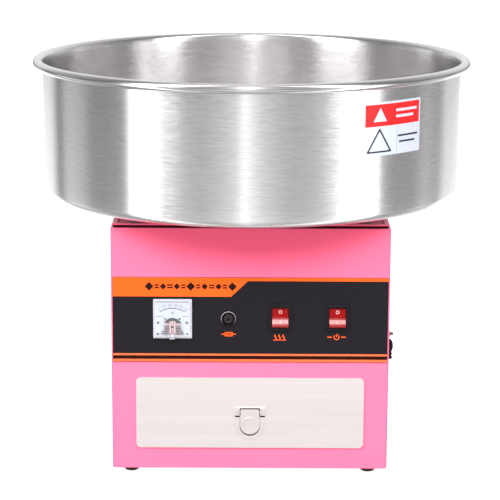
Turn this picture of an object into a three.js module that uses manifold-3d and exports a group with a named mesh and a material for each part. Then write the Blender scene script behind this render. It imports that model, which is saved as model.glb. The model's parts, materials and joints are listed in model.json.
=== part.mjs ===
// Cotton candy machine: sheet-metal base with drawer and controls, spinner head on a vertical motor, and a lift-off bowl.
// Millimetres, +Z up. Origin on the floor under the spinner axis; the control panel faces -Y and the drawer slides out along -Y.
import * as THREE from "three";
import { mergeVertices } from "three/addons/utils/BufferGeometryUtils.js";
import Module from "manifold-3d";

const wasm = await Module();
wasm.setup();

// ---------- driving dimensions ----------
const BODY_W = 319.5, BODY_D = 320, FOOT_H = 8.2, BODY_TOP = 293.5, SHEET = 1.2; // casing
const GAP = 0.3; // clearance between pieces that rest on each other
const BOWL_R = 260, BOWL_WALL_R = 248.8, BOWL_FOOT_R = 247.7, BOWL_Z0 = 310.3, RIM_Z = 465.5, BEAD_R = 5.4, CORNER_R = 10.1;
const BOWL_HOLE_R = 92, BOWL_T = 1.2, BOWL_LIP_Z = 325;
const PANEL_HW = 157.9, PANEL_Z0 = 136.9, PANEL_Z1 = 236.6, PANEL_T = 0.9; // control overlay
const METER_X = -89, METER_Z = 188.3, METER_W = 44.4, METER_H = 46, PIVOT_Z = 174.2;
const FUSE_X = -25.1, FUSE_Z = 188.5;
const HEAT_X = 34.3, POWER_X = 99.85, SWITCH_Z = 189.95, BEZEL_W = 26.1, BEZEL_H = 31.4;
const ROCKER_TILT = 10; // each way from the middle, degrees
const DRAWER_HW = 131.5, DRAWER_Z0 = 33.7, DRAWER_Z1 = 118.0, DRAWER_R = 5.6;
const TRAY_HW = 122, TRAY_BACK = 100, TRAY_Z0 = 38.3, TRAY_Z1 = 111;
const PULL_AXIS_Y = -163.6, PULL_AXIS_Z = 76.8;
const GLAND_Y = -70, GLAND_Z = 132.6, STUD_Y = -110, STUD_Z = 157.8;
const SHAFT_R = 5, HEAD_R = 78;

const HW = BODY_W / 2, HD = BODY_D / 2, FY = -HD;

// ---------- helpers ----------
const rad = (d) => (d * Math.PI) / 180;
function solid(geometry) {
  const g0 = geometry.index ? geometry : geometry.clone();
  for (const n of ["normal", "uv"]) g0.deleteAttribute(n);
  const g = mergeVertices(g0, 1e-4);
  return new wasm.Manifold(
    new wasm.Mesh({ numProp: 3, vertProperties: new Float32Array(g.attributes.position.array), triVerts: new Uint32Array(g.index.array) })
  );
}
// box from corner to corner
function box(x0, x1, y0, y1, z0, z1) {
  const g = new THREE.BoxGeometry(x1 - x0, y1 - y0, z1 - z0);
  g.translate((x0 + x1) / 2, (y0 + y1) / 2, (z0 + z1) / 2);
  return solid(g);
}
// upright cylinder between two heights
function cylZ(r, z0, z1, x = 0, y = 0, seg = 24, r1 = r) {
  const g = new THREE.CylinderGeometry(r1, r, z1 - z0, seg);
  g.rotateX(Math.PI / 2);
  g.translate(x, y, (z0 + z1) / 2);
  return solid(g);
}
function cylX(r, x0, x1, y, z, seg = 16, r1 = r) {
  const g = new THREE.CylinderGeometry(r1, r, x1 - x0, seg);
  g.rotateZ(-Math.PI / 2);
  g.translate((x0 + x1) / 2, y, z);
  return solid(g);
}
function cylY(r, y0, y1, x, z, seg = 20, r1 = r) {
  const g = new THREE.CylinderGeometry(r1, r, y1 - y0, seg);
  g.translate(x, (y0 + y1) / 2, z);
  return solid(g);
}
// closed [radius, height] loop turned about the Z axis
function turned(loop, seg) {
  const pts = loop.map(([r, z]) => new THREE.Vector2(r, z));
  if (pts[0].x > 1e-9 || pts[pts.length - 1].x > 1e-9) pts.push(pts[0].clone());
  const g = new THREE.LatheGeometry(pts, seg);
  g.rotateX(Math.PI / 2);
  const m = solid(g);
  return m;
}
// plate standing in the XZ plane from y0 (front) to y1 (back), outline given in x, z
function plate(shape, y0, y1, curve = 10) {
  const g = new THREE.ExtrudeGeometry(shape, { depth: y1 - y0, bevelEnabled: false, curveSegments: curve });
  g.rotateX(Math.PI / 2);
  g.translate(0, y1, 0);
  return solid(g);
}
// prism along X from an outline in y, z
function prismX(pts, x0, x1) {
  const s = new THREE.Shape(pts.map(([y, z]) => new THREE.Vector2(y, z)));
  const g = new THREE.ExtrudeGeometry(s, { depth: x1 - x0, bevelEnabled: false });
  g.rotateY(Math.PI / 2);
  g.rotateX(Math.PI / 2);
  g.translate(x0, 0, 0);
  return solid(g);
}
function roundRect(x0, x1, z0, z1, r) {
  const s = new THREE.Shape();
  s.moveTo(x0 + r, z0);
  s.lineTo(x1 - r, z0);
  s.absarc(x1 - r, z0 + r, r, -Math.PI / 2, 0, false);
  s.lineTo(x1, z1 - r);
  s.absarc(x1 - r, z1 - r, r, 0, Math.PI / 2, false);
  s.lineTo(x0 + r, z1);
  s.absarc(x0 + r, z1 - r, r, Math.PI / 2, Math.PI, false);
  s.lineTo(x0, z0 + r);
  s.absarc(x0 + r, z0 + r, r, Math.PI, 1.5 * Math.PI, false);
  return s;
}
// tongue outline: flat top, straight sides, half-round bottom about height zc
function tongue(hw, zc, top, r = 1.2) {
  const s = new THREE.Shape();
  s.moveTo(hw, zc);
  s.lineTo(hw, top - r);
  s.absarc(hw - r, top - r, r, 0, Math.PI / 2, false);
  s.lineTo(-hw + r, top);
  s.absarc(-hw + r, top - r, r, Math.PI / 2, Math.PI, false);
  s.lineTo(-hw, zc);
  s.absarc(0, zc, hw, Math.PI, 2 * Math.PI, false);
  return s;
}
const sub = (a, ...b) => b.reduce((m, s) => m.subtract(s), a);
const add = (a, ...b) => b.reduce((m, s) => m.add(s), a);

const group = new THREE.Group();
const MAT = {
  pink: ["#ff78a6", 0.38, 0.0], pinkDark: ["#f06a96", 0.45, 0.0], black: ["#232126", 0.45, 0.0], overlay: ["#2b292e", 0.4, 0.0],
  orange: ["#ff7d36", 0.45, 0.0], steel: ["#c9c9cb", 0.32, 1.0], galv: ["#a9adb0", 0.5, 1.0], red: ["#d3121a", 0.3, 0.0],
  white: ["#f3f3f5", 0.5, 0.0], clear: ["#eef2f5", 0.1, 0.0], brass: ["#c79a4b", 0.35, 1.0], iron: ["#4a4c50", 0.6, 0.6],
  alu: ["#b8babd", 0.4, 1.0], carbon: ["#2c2c2e", 0.7, 0.1], rubber: ["#1c1b1d", 0.8, 0.0], copper: ["#b5703f", 0.4, 1.0],
  cream: ["#e9e2cf", 0.6, 0.0], label: ["#f3f5fa", 0.4, 0.0],
};
function piece(name, manifold, mat, at) {
  const src = manifold.getMesh();
  const n = src.numProp, k = src.vertProperties.length / n;
  const pos = new Float32Array(k * 3);
  for (let i = 0; i < k; i++) for (let j = 0; j < 3; j++) pos[3 * i + j] = src.vertProperties[i * n + j];
  const g = new THREE.BufferGeometry();
  g.setAttribute("position", new THREE.BufferAttribute(pos, 3));
  g.setIndex(new THREE.BufferAttribute(new Uint32Array(src.triVerts), 1));
  g.computeVertexNormals();
  const [color, roughness, metalness] = MAT[mat];
  const material = new THREE.MeshStandardMaterial({ color, roughness, metalness });
  if (mat === "clear") { material.transparent = true; material.opacity = 0.35; }
  const mesh = new THREE.Mesh(g, material);
  mesh.name = name;
  (at || group).add(mesh);
  return mesh;
}

// ---------- casing: front and sides in one bent sheet, flanges turned in all round ----------
const T = SHEET;
const caseBack = HD - 1.6; // rear face of the turned-in rear flange
let casing = box(-HW, HW, FY, caseBack, FOOT_H, BODY_TOP);
casing = add(casing, box(-HW, -HW + T, 0, HD, FOOT_H, BODY_TOP), box(HW - T, HW, 0, HD, FOOT_H, BODY_TOP));
casing = sub(
  casing,
  box(-HW + T, HW - T, FY + T, caseBack - T, FOOT_H + T, BODY_TOP - T),
  box(-143, 143, FY + 15, caseBack - 14, BODY_TOP - 2, BODY_TOP + 1),
  box(-145, 145, FY + 13, caseBack - 14, FOOT_H - 1, FOOT_H + 2),
  box(-145, 145, caseBack - 3, caseBack + 1, 22, 281)
);
// front openings: drawer, meter, fuse holder, two switches
casing = sub(
  casing,
  box(-125.5, 125.5, FY - 1, FY + 2, 37.8, 113.6),
  cylY(19.5, FY - 1, FY + 2, METER_X, METER_Z, 24),
  cylY(6.6, FY - 1, FY + 2, FUSE_X, FUSE_Z, 16),
  box(HEAT_X - 11, HEAT_X + 11, FY - 1, FY + 2, SWITCH_Z - 14, SWITCH_Z + 14),
  box(POWER_X - 11, POWER_X + 11, FY - 1, FY + 2, SWITCH_Z - 14, SWITCH_Z + 14),
  cylX(6.6, HW - 2, HW + 1, GLAND_Y, GLAND_Z, 16),
  cylX(2.6, HW - 2, HW + 1, STUD_Y, STUD_Z, 10)
);
// ventilation slots in both sides, at the rear
for (let i = 0; i < 5; i++) {
  const z = 205 + i * 13;
  casing = sub(casing, box(-HW - 1, -HW + 2, 55, 125, z, z + 5), box(HW - 2, HW + 1, 55, 125, z, z + 5));
}
piece("casing", casing, "pink");

// ---------- rear cover: flat sheet with hooded louvres and screw heads ----------
let rear = box(-158.2, 158.2, HD - 1.3, HD - 0.1, 8.9, 292.9);
for (const cx of [-68, 68])
  for (let i = 0; i < 4; i++) {
    const zb = 150 + i * 24, zt = zb + 14;
    rear = add(rear, prismX([[HD - 0.7, zb], [HD + 4.6, zb], [HD - 0.7, zt]], cx - 48, cx + 48));
  }
for (const cx of [-68, 68])
  for (let i = 0; i < 4; i++) {
    const zb = 150 + i * 24, zt = zb + 14;
    rear = sub(rear, prismX([[HD - 3, zb - 1], [HD + 3.2, zb - 1], [HD + 3.2, zb + 0.4], [HD - 0.9, zt - 3.2], [HD - 3, zt - 3.2]], cx - 46.6, cx + 46.6));
  }
for (const [sx, sz] of [[-152, 15.5], [152, 15.5], [-152, 286.5], [152, 286.5]]) rear = add(rear, cylY(3.6, HD - 0.7, HD + 2.1, sx, sz, 12, 3.0));
piece("rear_cover", rear, "pink");

// ---------- base pan, drawer bay, runners ----------
let pan = box(-158.2, 158.2, FY + 1.6, HD - 4.6, 10.0, 11.2);
for (let i = 0; i < 4; i++) pan = sub(pan, box(-60, 60, 118 + i * 8, 122 + i * 8, 9, 12));
piece("base_pan", pan, "galv");

let bay = box(-132.2, 132.2, FY + 1.6, 115, 11.5, 124.4);
bay = sub(bay, box(-131, 131, FY, 116, 11, 123.2));
bay = add(bay, box(-144, -131.1, FY + 1.6, 115, 11.5, 12.7), box(131.1, 144, FY + 1.6, 115, 11.5, 12.7));
piece("drawer_bay", bay, "galv");

for (const [side, name] of [[-1, "runner_left"], [1, "runner_right"]]) {
  const a = side * 112, b = side * 130.7;
  let r = box(Math.min(a, b), Math.max(a, b), FY + 3, 110, 36.4, 38.0);
  const c = side * 129.3;
  r = add(r, box(Math.min(c, b), Math.max(c, b), FY + 3, 110, 36.4, 66));
  piece(name, r, "steel");
}

// ---------- drawer: tray, front plate, flush pull ----------
const cut = tongue(13.0, 60.5, 82.6, 1.5);
let tray = box(-TRAY_HW, TRAY_HW, FY, TRAY_BACK, TRAY_Z0, TRAY_Z1);
tray = sub(tray, box(-TRAY_HW + T, TRAY_HW - T, FY + T, TRAY_BACK - T, TRAY_Z0 + T, TRAY_Z1 + 1), plate(cut, FY - 1, FY + 2, 6));
piece("drawer_tray", tray, "galv");

let front = plate(roundRect(-DRAWER_HW, DRAWER_HW, DRAWER_Z0, DRAWER_Z1, DRAWER_R), FY - 1.8, FY - 0.3, 4);
front = sub(front, plate(cut, FY - 3, FY + 1, 6));
piece("drawer_front", front, "steel");

let pull = plate(tongue(17.65, 61.55, 83.0, 1.5), FY - 3.3, FY - 2.1, 8);
pull = add(pull, plate(tongue(12.5, 60.5, 82.3, 1.2), FY - 2.6, FY + 10, 6));
pull = sub(pull, plate(tongue(11.4, 60.5, 81.7, 1.0), FY - 4, FY + 9, 6));
for (const s of [-1, 1]) {
  const a = s * 11.4, b = s * 17.4;
  pull = add(pull, box(Math.min(a, b), Math.max(a, b), FY - 5.3, FY - 2.5, 71.4, 82.8));
  pull = sub(pull, cylX(1.15, Math.min(s * 10, s * 15), Math.max(s * 10, s * 15), PULL_AXIS_Y, PULL_AXIS_Z, 12));
}
piece("pull_base", pull, "steel");

let flap = plate(tongue(10.7, 60.5, 81.0, 1.0), FY - 4.2, FY - 2.9, 6);
flap = add(flap, cylX(1.6, -10.6, 10.6, PULL_AXIS_Y, PULL_AXIS_Z, 12), cylX(1.0, -14.4, 14.4, PULL_AXIS_Y, PULL_AXIS_Z, 12));
piece("pull_flap", flap, "steel");

// ---------- top cover with raised border and shaft collar ----------
let top = box(-HW + 2.4, HW - 2.4, FY + 2.4, HD - 2.4, BODY_TOP + GAP, BODY_TOP + 3.0);
top = sub(top, box(-HW + 8.4, HW - 8.4, FY + 8.4, HD - 8.4, BODY_TOP + 1.5, BODY_TOP + 5));
top = add(top, cylZ(17.2, BODY_TOP + 0.6, 321, 0, 0, 24));
top = sub(top, cylZ(16, BODY_TOP - 1, 323, 0, 0, 24));
piece("top_cover", top, "pink");

// ---------- bowl support clips ----------
const clipZ = BODY_TOP + 1.8, clipTop = BOWL_Z0 - GAP;
for (const [name, sx, sy] of [["bowl_clip_front_left", -1, -1], ["bowl_clip_front_right", 1, -1], ["bowl_clip_rear_left", -1, 1], ["bowl_clip_rear_right", 1, 1]]) {
  const xs = [sx * 125, sx * 139].sort((p, q) => p - q);
  const Y = (p, q) => [sy * p, sy * q].sort((a, b) => a - b);
  let c = box(...xs, ...Y(134, 150), clipZ, clipZ + 1);
  c = add(c, box(...xs, ...Y(134, 135.2), clipZ, clipTop), box(...xs, ...Y(134, 150), clipTop - 1, clipTop), box(...xs, ...Y(149, 150), clipTop - 4, clipTop));
  piece(name, c, "steel");
}

// ---------- rubber feet ----------
for (const [name, sx, sy] of [["foot_front_left", -1, -1], ["foot_front_right", 1, -1], ["foot_rear_left", -1, 1], ["foot_rear_right", 1, 1]]) {
  const fx = sx * 138.4, fy = sy * 139.5;
  const loop = [[0, 0], [6.2, 0], [8.3, 1.4], [9.3, 4.2], [9.4, FOOT_H - GAP], [0, FOOT_H - GAP]];
  const g = new THREE.LatheGeometry(loop.map(([r, z]) => new THREE.Vector2(r, z)), 16);
  g.rotateX(Math.PI / 2);
  g.translate(fx, fy, 0);
  piece(name, solid(g), "rubber");
}

// ---------- control overlay and its printed bands ----------
const py = FY - GAP;
let overlay = box(-PANEL_HW, PANEL_HW, py - PANEL_T, py, PANEL_Z0, PANEL_Z1);
overlay = sub(
  overlay,
  cylY(19.9, py - 2, py + 1, METER_X, METER_Z, 24),
  cylY(6.9, py - 2, py + 1, FUSE_X, FUSE_Z, 16),
  box(HEAT_X - 11.4, HEAT_X + 11.4, py - 2, py + 1, SWITCH_Z - 14.4, SWITCH_Z + 14.4),
  box(POWER_X - 11.4, POWER_X + 11.4, py - 2, py + 1, SWITCH_Z - 14.4, SWITCH_Z + 14.4)
);
piece("overlay_panel", overlay, "overlay");
const bandShape = new THREE.Shape([
  new THREE.Vector2(-PANEL_HW, 214.1), new THREE.Vector2(-22.2, 214.1), new THREE.Vector2(-2.9, 232.6),
  new THREE.Vector2(PANEL_HW, 232.6), new THREE.Vector2(PANEL_HW, PANEL_Z1), new THREE.Vector2(-PANEL_HW, PANEL_Z1),
]);
piece("overlay_band", plate(bandShape, py - PANEL_T - 0.55, py - PANEL_T - 0.25), "orange");
// twin stripe: one strip with a shallow groove that parts its two colours
const stripes = box(-PANEL_HW, PANEL_HW, py - PANEL_T - 0.55, py - PANEL_T - 0.25, PANEL_Z0, 146.7);
piece("overlay_stripes", sub(stripes, box(-PANEL_HW - 1, PANEL_HW + 1, py - PANEL_T - 0.9, py - PANEL_T - 0.42, 140.8, 143.6)), "orange");

// ---------- analog meter ----------
const my = FY - 1.5, mx0 = METER_X - METER_W / 2, mx1 = METER_X + METER_W / 2, mz0 = METER_Z - METER_H / 2, mz1 = METER_Z + METER_H / 2;
let mbody = box(mx0, mx1, my - 2, my, mz0, mz1);
mbody = add(mbody, cylY(19, my - 0.5, FY + 30, METER_X, METER_Z, 24));
mbody = add(mbody, cylY(2.5, FY + 29, FY + 38, METER_X - 9, METER_Z, 8), cylY(2.5, FY + 29, FY + 38, METER_X + 9, METER_Z, 8));
piece("meter_body", mbody, "black");
piece("meter_dial", box(mx0 + 1.9, mx1 - 1.9, my - 2.9, my - 2.3, mz0 + 1.9, mz1 - 1.9), "white");
const yoke = new THREE.Shape();
yoke.moveTo(METER_X - 9.5, PIVOT_Z - 4.9);
yoke.lineTo(METER_X + 9.5, PIVOT_Z - 4.9);
yoke.lineTo(METER_X + 9.5, PIVOT_Z + 7);
yoke.lineTo(METER_X + 6.2, PIVOT_Z + 7.9);
yoke.absarc(METER_X, PIVOT_Z + 5.1, 6.8, rad(24), rad(156), false);
yoke.lineTo(METER_X - 9.5, PIVOT_Z + 7);
piece("meter_yoke", plate(yoke, my - 4.4, my - 3.2, 6), "carbon");
let win = box(mx0, mx1, my - 8.3, my - 2.3, mz0, mz1);
win = sub(win, box(mx0 + 1.5, mx1 - 1.5, my - 6.8, my - 1, mz0 + 1.5, mz1 - 1.5), cylY(2.3, my - 10, my - 6, METER_X, 169.6, 10));
// front edges of the cover slope back all round
win = sub(
  win,
  prismX([[my - 9, mz1 + 1], [my - 9, mz1 - 3.2], [my - 8.3, mz1 - 3.2], [my - 6.3, mz1], [my - 6.3, mz1 + 1]], mx0 - 1, mx1 + 1),
);
piece("meter_window", win, "clear");
// needle, resting on zero at the left end of the scale
const needleTilt = 31.5;
const ns = new THREE.Shape();
ns.moveTo(-0.9, -3);
ns.lineTo(0.9, -3);
ns.lineTo(0.32, 24);
ns.lineTo(-0.32, 24);
const needleGeo = plate(ns, -0.25, 0.25);
const hub = cylY(1.9, -0.35, 0.5, 0, 0, 12);
const needle = piece("meter_needle", add(needleGeo, hub), "carbon", new THREE.Group());
const needleAt = new THREE.Group();
needleAt.position.set(METER_X, my - 5.5, PIVOT_Z);
needleAt.rotation.y = -rad(needleTilt);
needleAt.add(needle);
group.add(needleAt);
// zero adjuster in the lower edge of the cover
let zero = cylY(1.9, my - 8.9, my - 6.4, METER_X, 169.6, 10);
zero = sub(zero, box(METER_X - 1.6, METER_X + 1.6, my - 9.5, my - 8.4, 169.3, 169.9));
piece("meter_zero_screw", zero, "black");

// ---------- fuse holder ----------
let fuse = cylY(8.8, my - 2, my, FUSE_X, FUSE_Z, 24);
fuse = add(fuse, cylY(6.2, my - 0.5, FY + 38, FUSE_X, FUSE_Z, 16));
fuse = sub(fuse, cylY(5.6, my - 3, FY + 0.4, FUSE_X, FUSE_Z, 16), cylY(4.5, FY, FY + 35, FUSE_X, FUSE_Z, 16));
piece("fuse_holder", fuse, "black");
let cap = cylY(5.1, my - 3.0, FY, FUSE_X, FUSE_Z, 16);
cap = add(cap, cylY(4.0, FY - 0.5, FY + 8, FUSE_X, FUSE_Z, 16));
cap = sub(cap, cylY(3.0, FY + 1, FY + 9, FUSE_X, FUSE_Z, 16), box(FUSE_X - 3, FUSE_X + 3, my - 4, my - 2, FUSE_Z - 0.6, FUSE_Z + 0.6));
piece("fuse_cap", cap, "black");
piece("fuse_cartridge", cylY(2.6, FY + 1.6, FY + 32, FUSE_X, FUSE_Z, 12), "brass");

// ---------- rocker switches ----------
for (const [name, cx] of [["heat", HEAT_X], ["power", POWER_X]]) {
  const bx = BEZEL_W / 2, bz = BEZEL_H / 2;
  let b = plate(roundRect(cx - bx, cx + bx, SWITCH_Z - bz, SWITCH_Z + bz, 1.4), my - 2.2, my, 3);
  b = add(b, box(cx - 10.6, cx + 10.6, my - 0.5, FY + 20, SWITCH_Z - 13.4, SWITCH_Z + 13.4));
  b = sub(b, box(cx - 10.0, cx + 10.0, my - 4, FY + 9, SWITCH_Z - 12.1, SWITCH_Z + 12.1));
  for (const tx of [-5, 5]) for (const tz of [-8, 8]) b = add(b, box(cx + tx - 0.4, cx + tx + 0.4, FY + 19.5, FY + 29, SWITCH_Z + tz - 3.1, SWITCH_Z + tz + 3.1));
  piece(`switch_${name}_body`, b, "black");
  // rocker profile about its pivot, turned to the off position: top pressed in, bottom standing out
  const prof = [[-1.0, 0], [-2.9, 11.2], [1.0, 11.2], [5.2, 8], [5.2, -8], [1.0, -11.2], [-2.9, -11.2]];
  const t = -rad(ROCKER_TILT);
  const turnedProf = prof.map(([y, z]) => [FY - 1 + y * Math.cos(t) - z * Math.sin(t), SWITCH_Z + y * Math.sin(t) + z * Math.cos(t)]).reverse();
  piece(`switch_${name}_rocker`, prismX(turnedProf, cx - 9.7, cx + 9.7), "red");
}

// ---------- cord gland with downward outlet, earth stud ----------
let gland = cylX(9.0, HW + GAP, HW + 2.3, GLAND_Y, GLAND_Z, 20);
gland = add(gland, cylX(8.2, HW + 2, HW + 7, GLAND_Y, GLAND_Z, 20), cylX(8.2, HW + 7, HW + 10, GLAND_Y, GLAND_Z, 20, 5.5), cylX(6.2, HW - 9, HW + 1, GLAND_Y, GLAND_Z, 16));
gland = add(gland, cylZ(4.6, GLAND_Z - 16, GLAND_Z, HW + 5.6, GLAND_Y, 14));
gland = sub(gland, cylX(3.2, HW - 10, HW + 5.6, GLAND_Y, GLAND_Z, 12), cylZ(3.2, GLAND_Z - 17, GLAND_Z, HW + 5.6, GLAND_Y, 12));
piece("cord_gland", gland, "black");
let stud = cylX(2.1, HW - 9, HW + 7.2, STUD_Y, STUD_Z, 12);
stud = add(stud, cylX(4.2, HW + GAP, HW + 1.2, STUD_Y, STUD_Z, 16), cylX(4.0, HW + 1.0, HW + 4.2, STUD_Y, STUD_Z, 6), cylX(4.0, HW - 5.5, HW - T - GAP, STUD_Y, STUD_Z, 6));
piece("earth_stud", stud, "steel");

// ---------- terminal block on the bay ----------
let term = box(60, 112, 20, 40, 124.7, 140);
for (let i = 0; i < 4; i++) term = sub(term, box(63 + i * 12.4, 71 + i * 12.4, 19, 25, 132, 141));
piece("terminal_block", term, "cream");

// ---------- motor, hung from a bridge under the top flanges ----------
let bridge = box(-140, 140, -52, 52, 243, 245);
bridge = add(bridge, box(-140, -138.4, -52, 52, 243, BODY_TOP - 1.5), box(138.4, 140, -52, 52, 243, BODY_TOP - 1.5), box(-155, -138.4, -52, 52, BODY_TOP - 3, BODY_TOP - 1.5), box(138.4, 155, -52, 52, BODY_TOP - 3, BODY_TOP - 1.5));
bridge = sub(bridge, cylZ(15, 240, 250, 0, 0, 20));
piece("motor_bridge", bridge, "galv");
let can = cylZ(46, 165, 242.7, 0, 0, 20);
can = sub(can, cylZ(43.4, 160, 234.5, 0, 0, 20), cylZ(11.4, 230, 245, 0, 0, 16));
piece("motor_housing", can, "iron");
piece("motor_stator", sub(cylZ(43.0, 178, 228, 0, 0, 20), cylZ(31.5, 177, 229, 0, 0, 20)), "copper");
let endcap = cylZ(46, 156.5, 164.7, 0, 0, 20);
endcap = sub(endcap, cylZ(11.4, 150, 170, 0, 0, 16));
for (let i = 0; i < 6; i++) endcap = sub(endcap, cylZ(6, 150, 170, 29 * Math.cos(rad(60 * i)), 29 * Math.sin(rad(60 * i)), 10));
piece("motor_end_cap", endcap, "iron");
piece("bearing_upper", sub(cylZ(11, 235.2, 242.2, 0, 0, 16), cylZ(5.5, 230, 250, 0, 0, 16)), "steel");
piece("bearing_lower", sub(cylZ(11, 157.2, 164.2, 0, 0, 16), cylZ(5.5, 150, 170, 0, 0, 16)), "steel");

// rotating parts on the shaft
const shaft = turned([[0, 139], [SHAFT_R, 139], [SHAFT_R, 338.2], [4, 338.2], [4, 350.5], [0, 350.5]], 16);
piece("rotor_shaft", shaft, "steel");
piece("motor_rotor", sub(cylZ(31, 180, 226, 0, 0, 24), cylZ(5.3, 170, 230, 0, 0, 16)), "iron");
let fan = sub(cylZ(10, 140, 153, 0, 0, 16), cylZ(5.3, 139, 160, 0, 0, 16));
for (let i = 0; i < 6; i++) {
  const g = new THREE.BoxGeometry(34, 1.4, 14);
  g.rotateX(rad(38));
  g.translate(8 + 17, 0, 146.5);
  g.rotateZ(rad(60 * i));
  fan = add(fan, solid(g));
}
fan = sub(fan, cylZ(5.3, 130, 170, 0, 0, 16));
piece("cooling_fan", fan, "black");
piece("slip_ring_sleeve", sub(cylZ(11.5, 250, 284, 0, 0, 16), cylZ(5.3, 240, 290, 0, 0, 16)), "cream");
for (const [name, z] of [["slip_ring_lower", 254], ["slip_ring_upper", 270]])
  piece(name, sub(cylZ(15, z, z + 7, 0, 0, 20), cylZ(11.9, z - 1, z + 8, 0, 0, 20)), "brass");
// brush holder and its two carbon brushes
let holder = box(28, 48, -9, 9, 245.3, 282);
for (const z of [257.5, 273.5]) holder = sub(holder, box(27, 49, -3.4, 3.4, z - 3.4, z + 3.4));
piece("brush_holder", holder, "cream");
for (const [name, z] of [["brush_lower", 257.5], ["brush_upper", 273.5]]) piece(name, box(15.4, 44, -3, 3, z - 3, z + 3), "carbon");

// ---------- spinner head ----------
let dish = turned([[5.3, 325], [14, 325], [14, 331], [70, 333], [HEAD_R - 2, 335], [HEAD_R, 337], [HEAD_R, 344], [74.6, 344], [74.6, 338], [69, 336.2], [14, 334.4], [14, 338.6], [5.3, 338.6]], 28);
for (let i = 0; i < 3; i++) dish = add(dish, cylZ(3.2, 334, 367.6, 56 * Math.cos(rad(120 * i + 30)), 56 * Math.sin(rad(120 * i + 30)), 10));
piece("head_dish", dish, "alu");
piece("head_nut", sub(cylZ(8, 339.2, 346, 0, 0, 6), cylZ(4.4, 330, 353, 0, 0, 12)), "steel");
// heater ring on the way round the dish, inside the slotted band
const hr = [];
for (let i = 0; i < 8; i++) hr.push([65.5 + 2.6 * Math.cos(rad(45 * i)), 349 + 6 * Math.sin(rad(45 * i))]);
piece("heater_ring", turned(hr, 24), "iron");
let band = sub(cylZ(73.9, 338.6, 367.6, 0, 0, 32), cylZ(72.7, 337, 369, 0, 0, 32));
for (let i = 0; i < 16; i++) {
  const g = new THREE.BoxGeometry(9, 5, 18);
  g.translate(73, 0, 355.5);
  g.rotateZ(rad(22.5 * i + 11.25));
  band = sub(band, solid(g));
}
piece("head_band", band, "steel");
const lid = turned([[21, 355], [22.2, 355], [24, 367.9], [HEAD_R - 3, 367.9], [HEAD_R - 1.6, 363.5], [HEAD_R, 363.5], [HEAD_R, 368.5], [HEAD_R - 2.5, 371], [31, 374.5], [28, 374.5], [22.6, 369]], 28);
piece("head_cover", lid, "alu");

// ---------- bowl ----------
const loop = [];
loop.push([BOWL_HOLE_R, BOWL_Z0]);
const fr = BOWL_FOOT_R - CORNER_R;
for (let i = 0; i <= 3; i++) {
  const a = rad(-90 + 30 * i);
  loop.push([fr + CORNER_R * Math.cos(a), BOWL_Z0 + CORNER_R + CORNER_R * Math.sin(a)]);
}
const beadR0 = BOWL_R - BEAD_R;
loop.push([BOWL_WALL_R - 0.05, RIM_Z - 5.2]);
for (let i = 0; i <= 6; i++) {
  const a = rad(-126 + 42 * i);
  loop.push([beadR0 + BEAD_R * Math.cos(a), RIM_Z + BEAD_R * Math.sin(a)]);
}
loop.push([BOWL_WALL_R - 0.2, RIM_Z + 1.5]);
loop.push([BOWL_WALL_R - BOWL_T, RIM_Z - 4]);
for (let i = 3; i >= 0; i--) {
  const a = rad(-90 + 30 * i);
  const r = CORNER_R - BOWL_T;
  loop.push([fr + r * Math.cos(a), BOWL_Z0 + CORNER_R + r * Math.sin(a)]);
}
loop.push([BOWL_HOLE_R + BOWL_T, BOWL_Z0 + BOWL_T]);
loop.push([BOWL_HOLE_R + BOWL_T, BOWL_LIP_Z]);
loop.push([BOWL_HOLE_R, BOWL_LIP_Z]);
piece("bowl", turned(loop, 48), "steel");

// sticker on the right front of the wall: thin patch that follows the wall
const segs = 8, a0 = 29.7, a1 = 49.3, z0 = 385.4, z1 = 445.1;
const wallR = (z) => BOWL_FOOT_R + ((BOWL_WALL_R - BOWL_FOOT_R) * (z - BOWL_Z0)) / (RIM_Z - BOWL_Z0);
const lp = [], li = [];
for (let i = 0; i <= segs; i++) {
  const a = rad(a0 + ((a1 - a0) * i) / segs);
  for (const [z, o] of [[z0, 0.3], [z1, 0.3], [z1, 0.7], [z0, 0.7]]) {
    const r = (wallR(z) + o);
    lp.push(r * Math.sin(a), -r * Math.cos(a), z);
  }
}
for (let i = 0; i < segs; i++)
  for (let k = 0; k < 4; k++) {
    const a = 4 * i + k, b = 4 * i + ((k + 1) % 4), c = a + 4, d = b + 4;
    li.push(a, b, c, b, d, c);
  }
li.push(0, 2, 1, 0, 3, 2);
const e = 4 * segs;
li.push(e, e + 1, e + 2, e, e + 2, e + 3);
const lg = new THREE.BufferGeometry();
lg.setAttribute("position", new THREE.BufferAttribute(new Float32Array(lp), 3));
lg.setIndex(li);
piece("bowl_sticker", solid(lg), "label");

export default group;
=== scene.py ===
# Looks of the cotton candy machine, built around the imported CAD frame.
# Lengths in the helpers are millimetres in the CAD frame; objects are made in metres.
import json
import math

import bmesh
import bpy
from mathutils import Matrix, Vector

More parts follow.
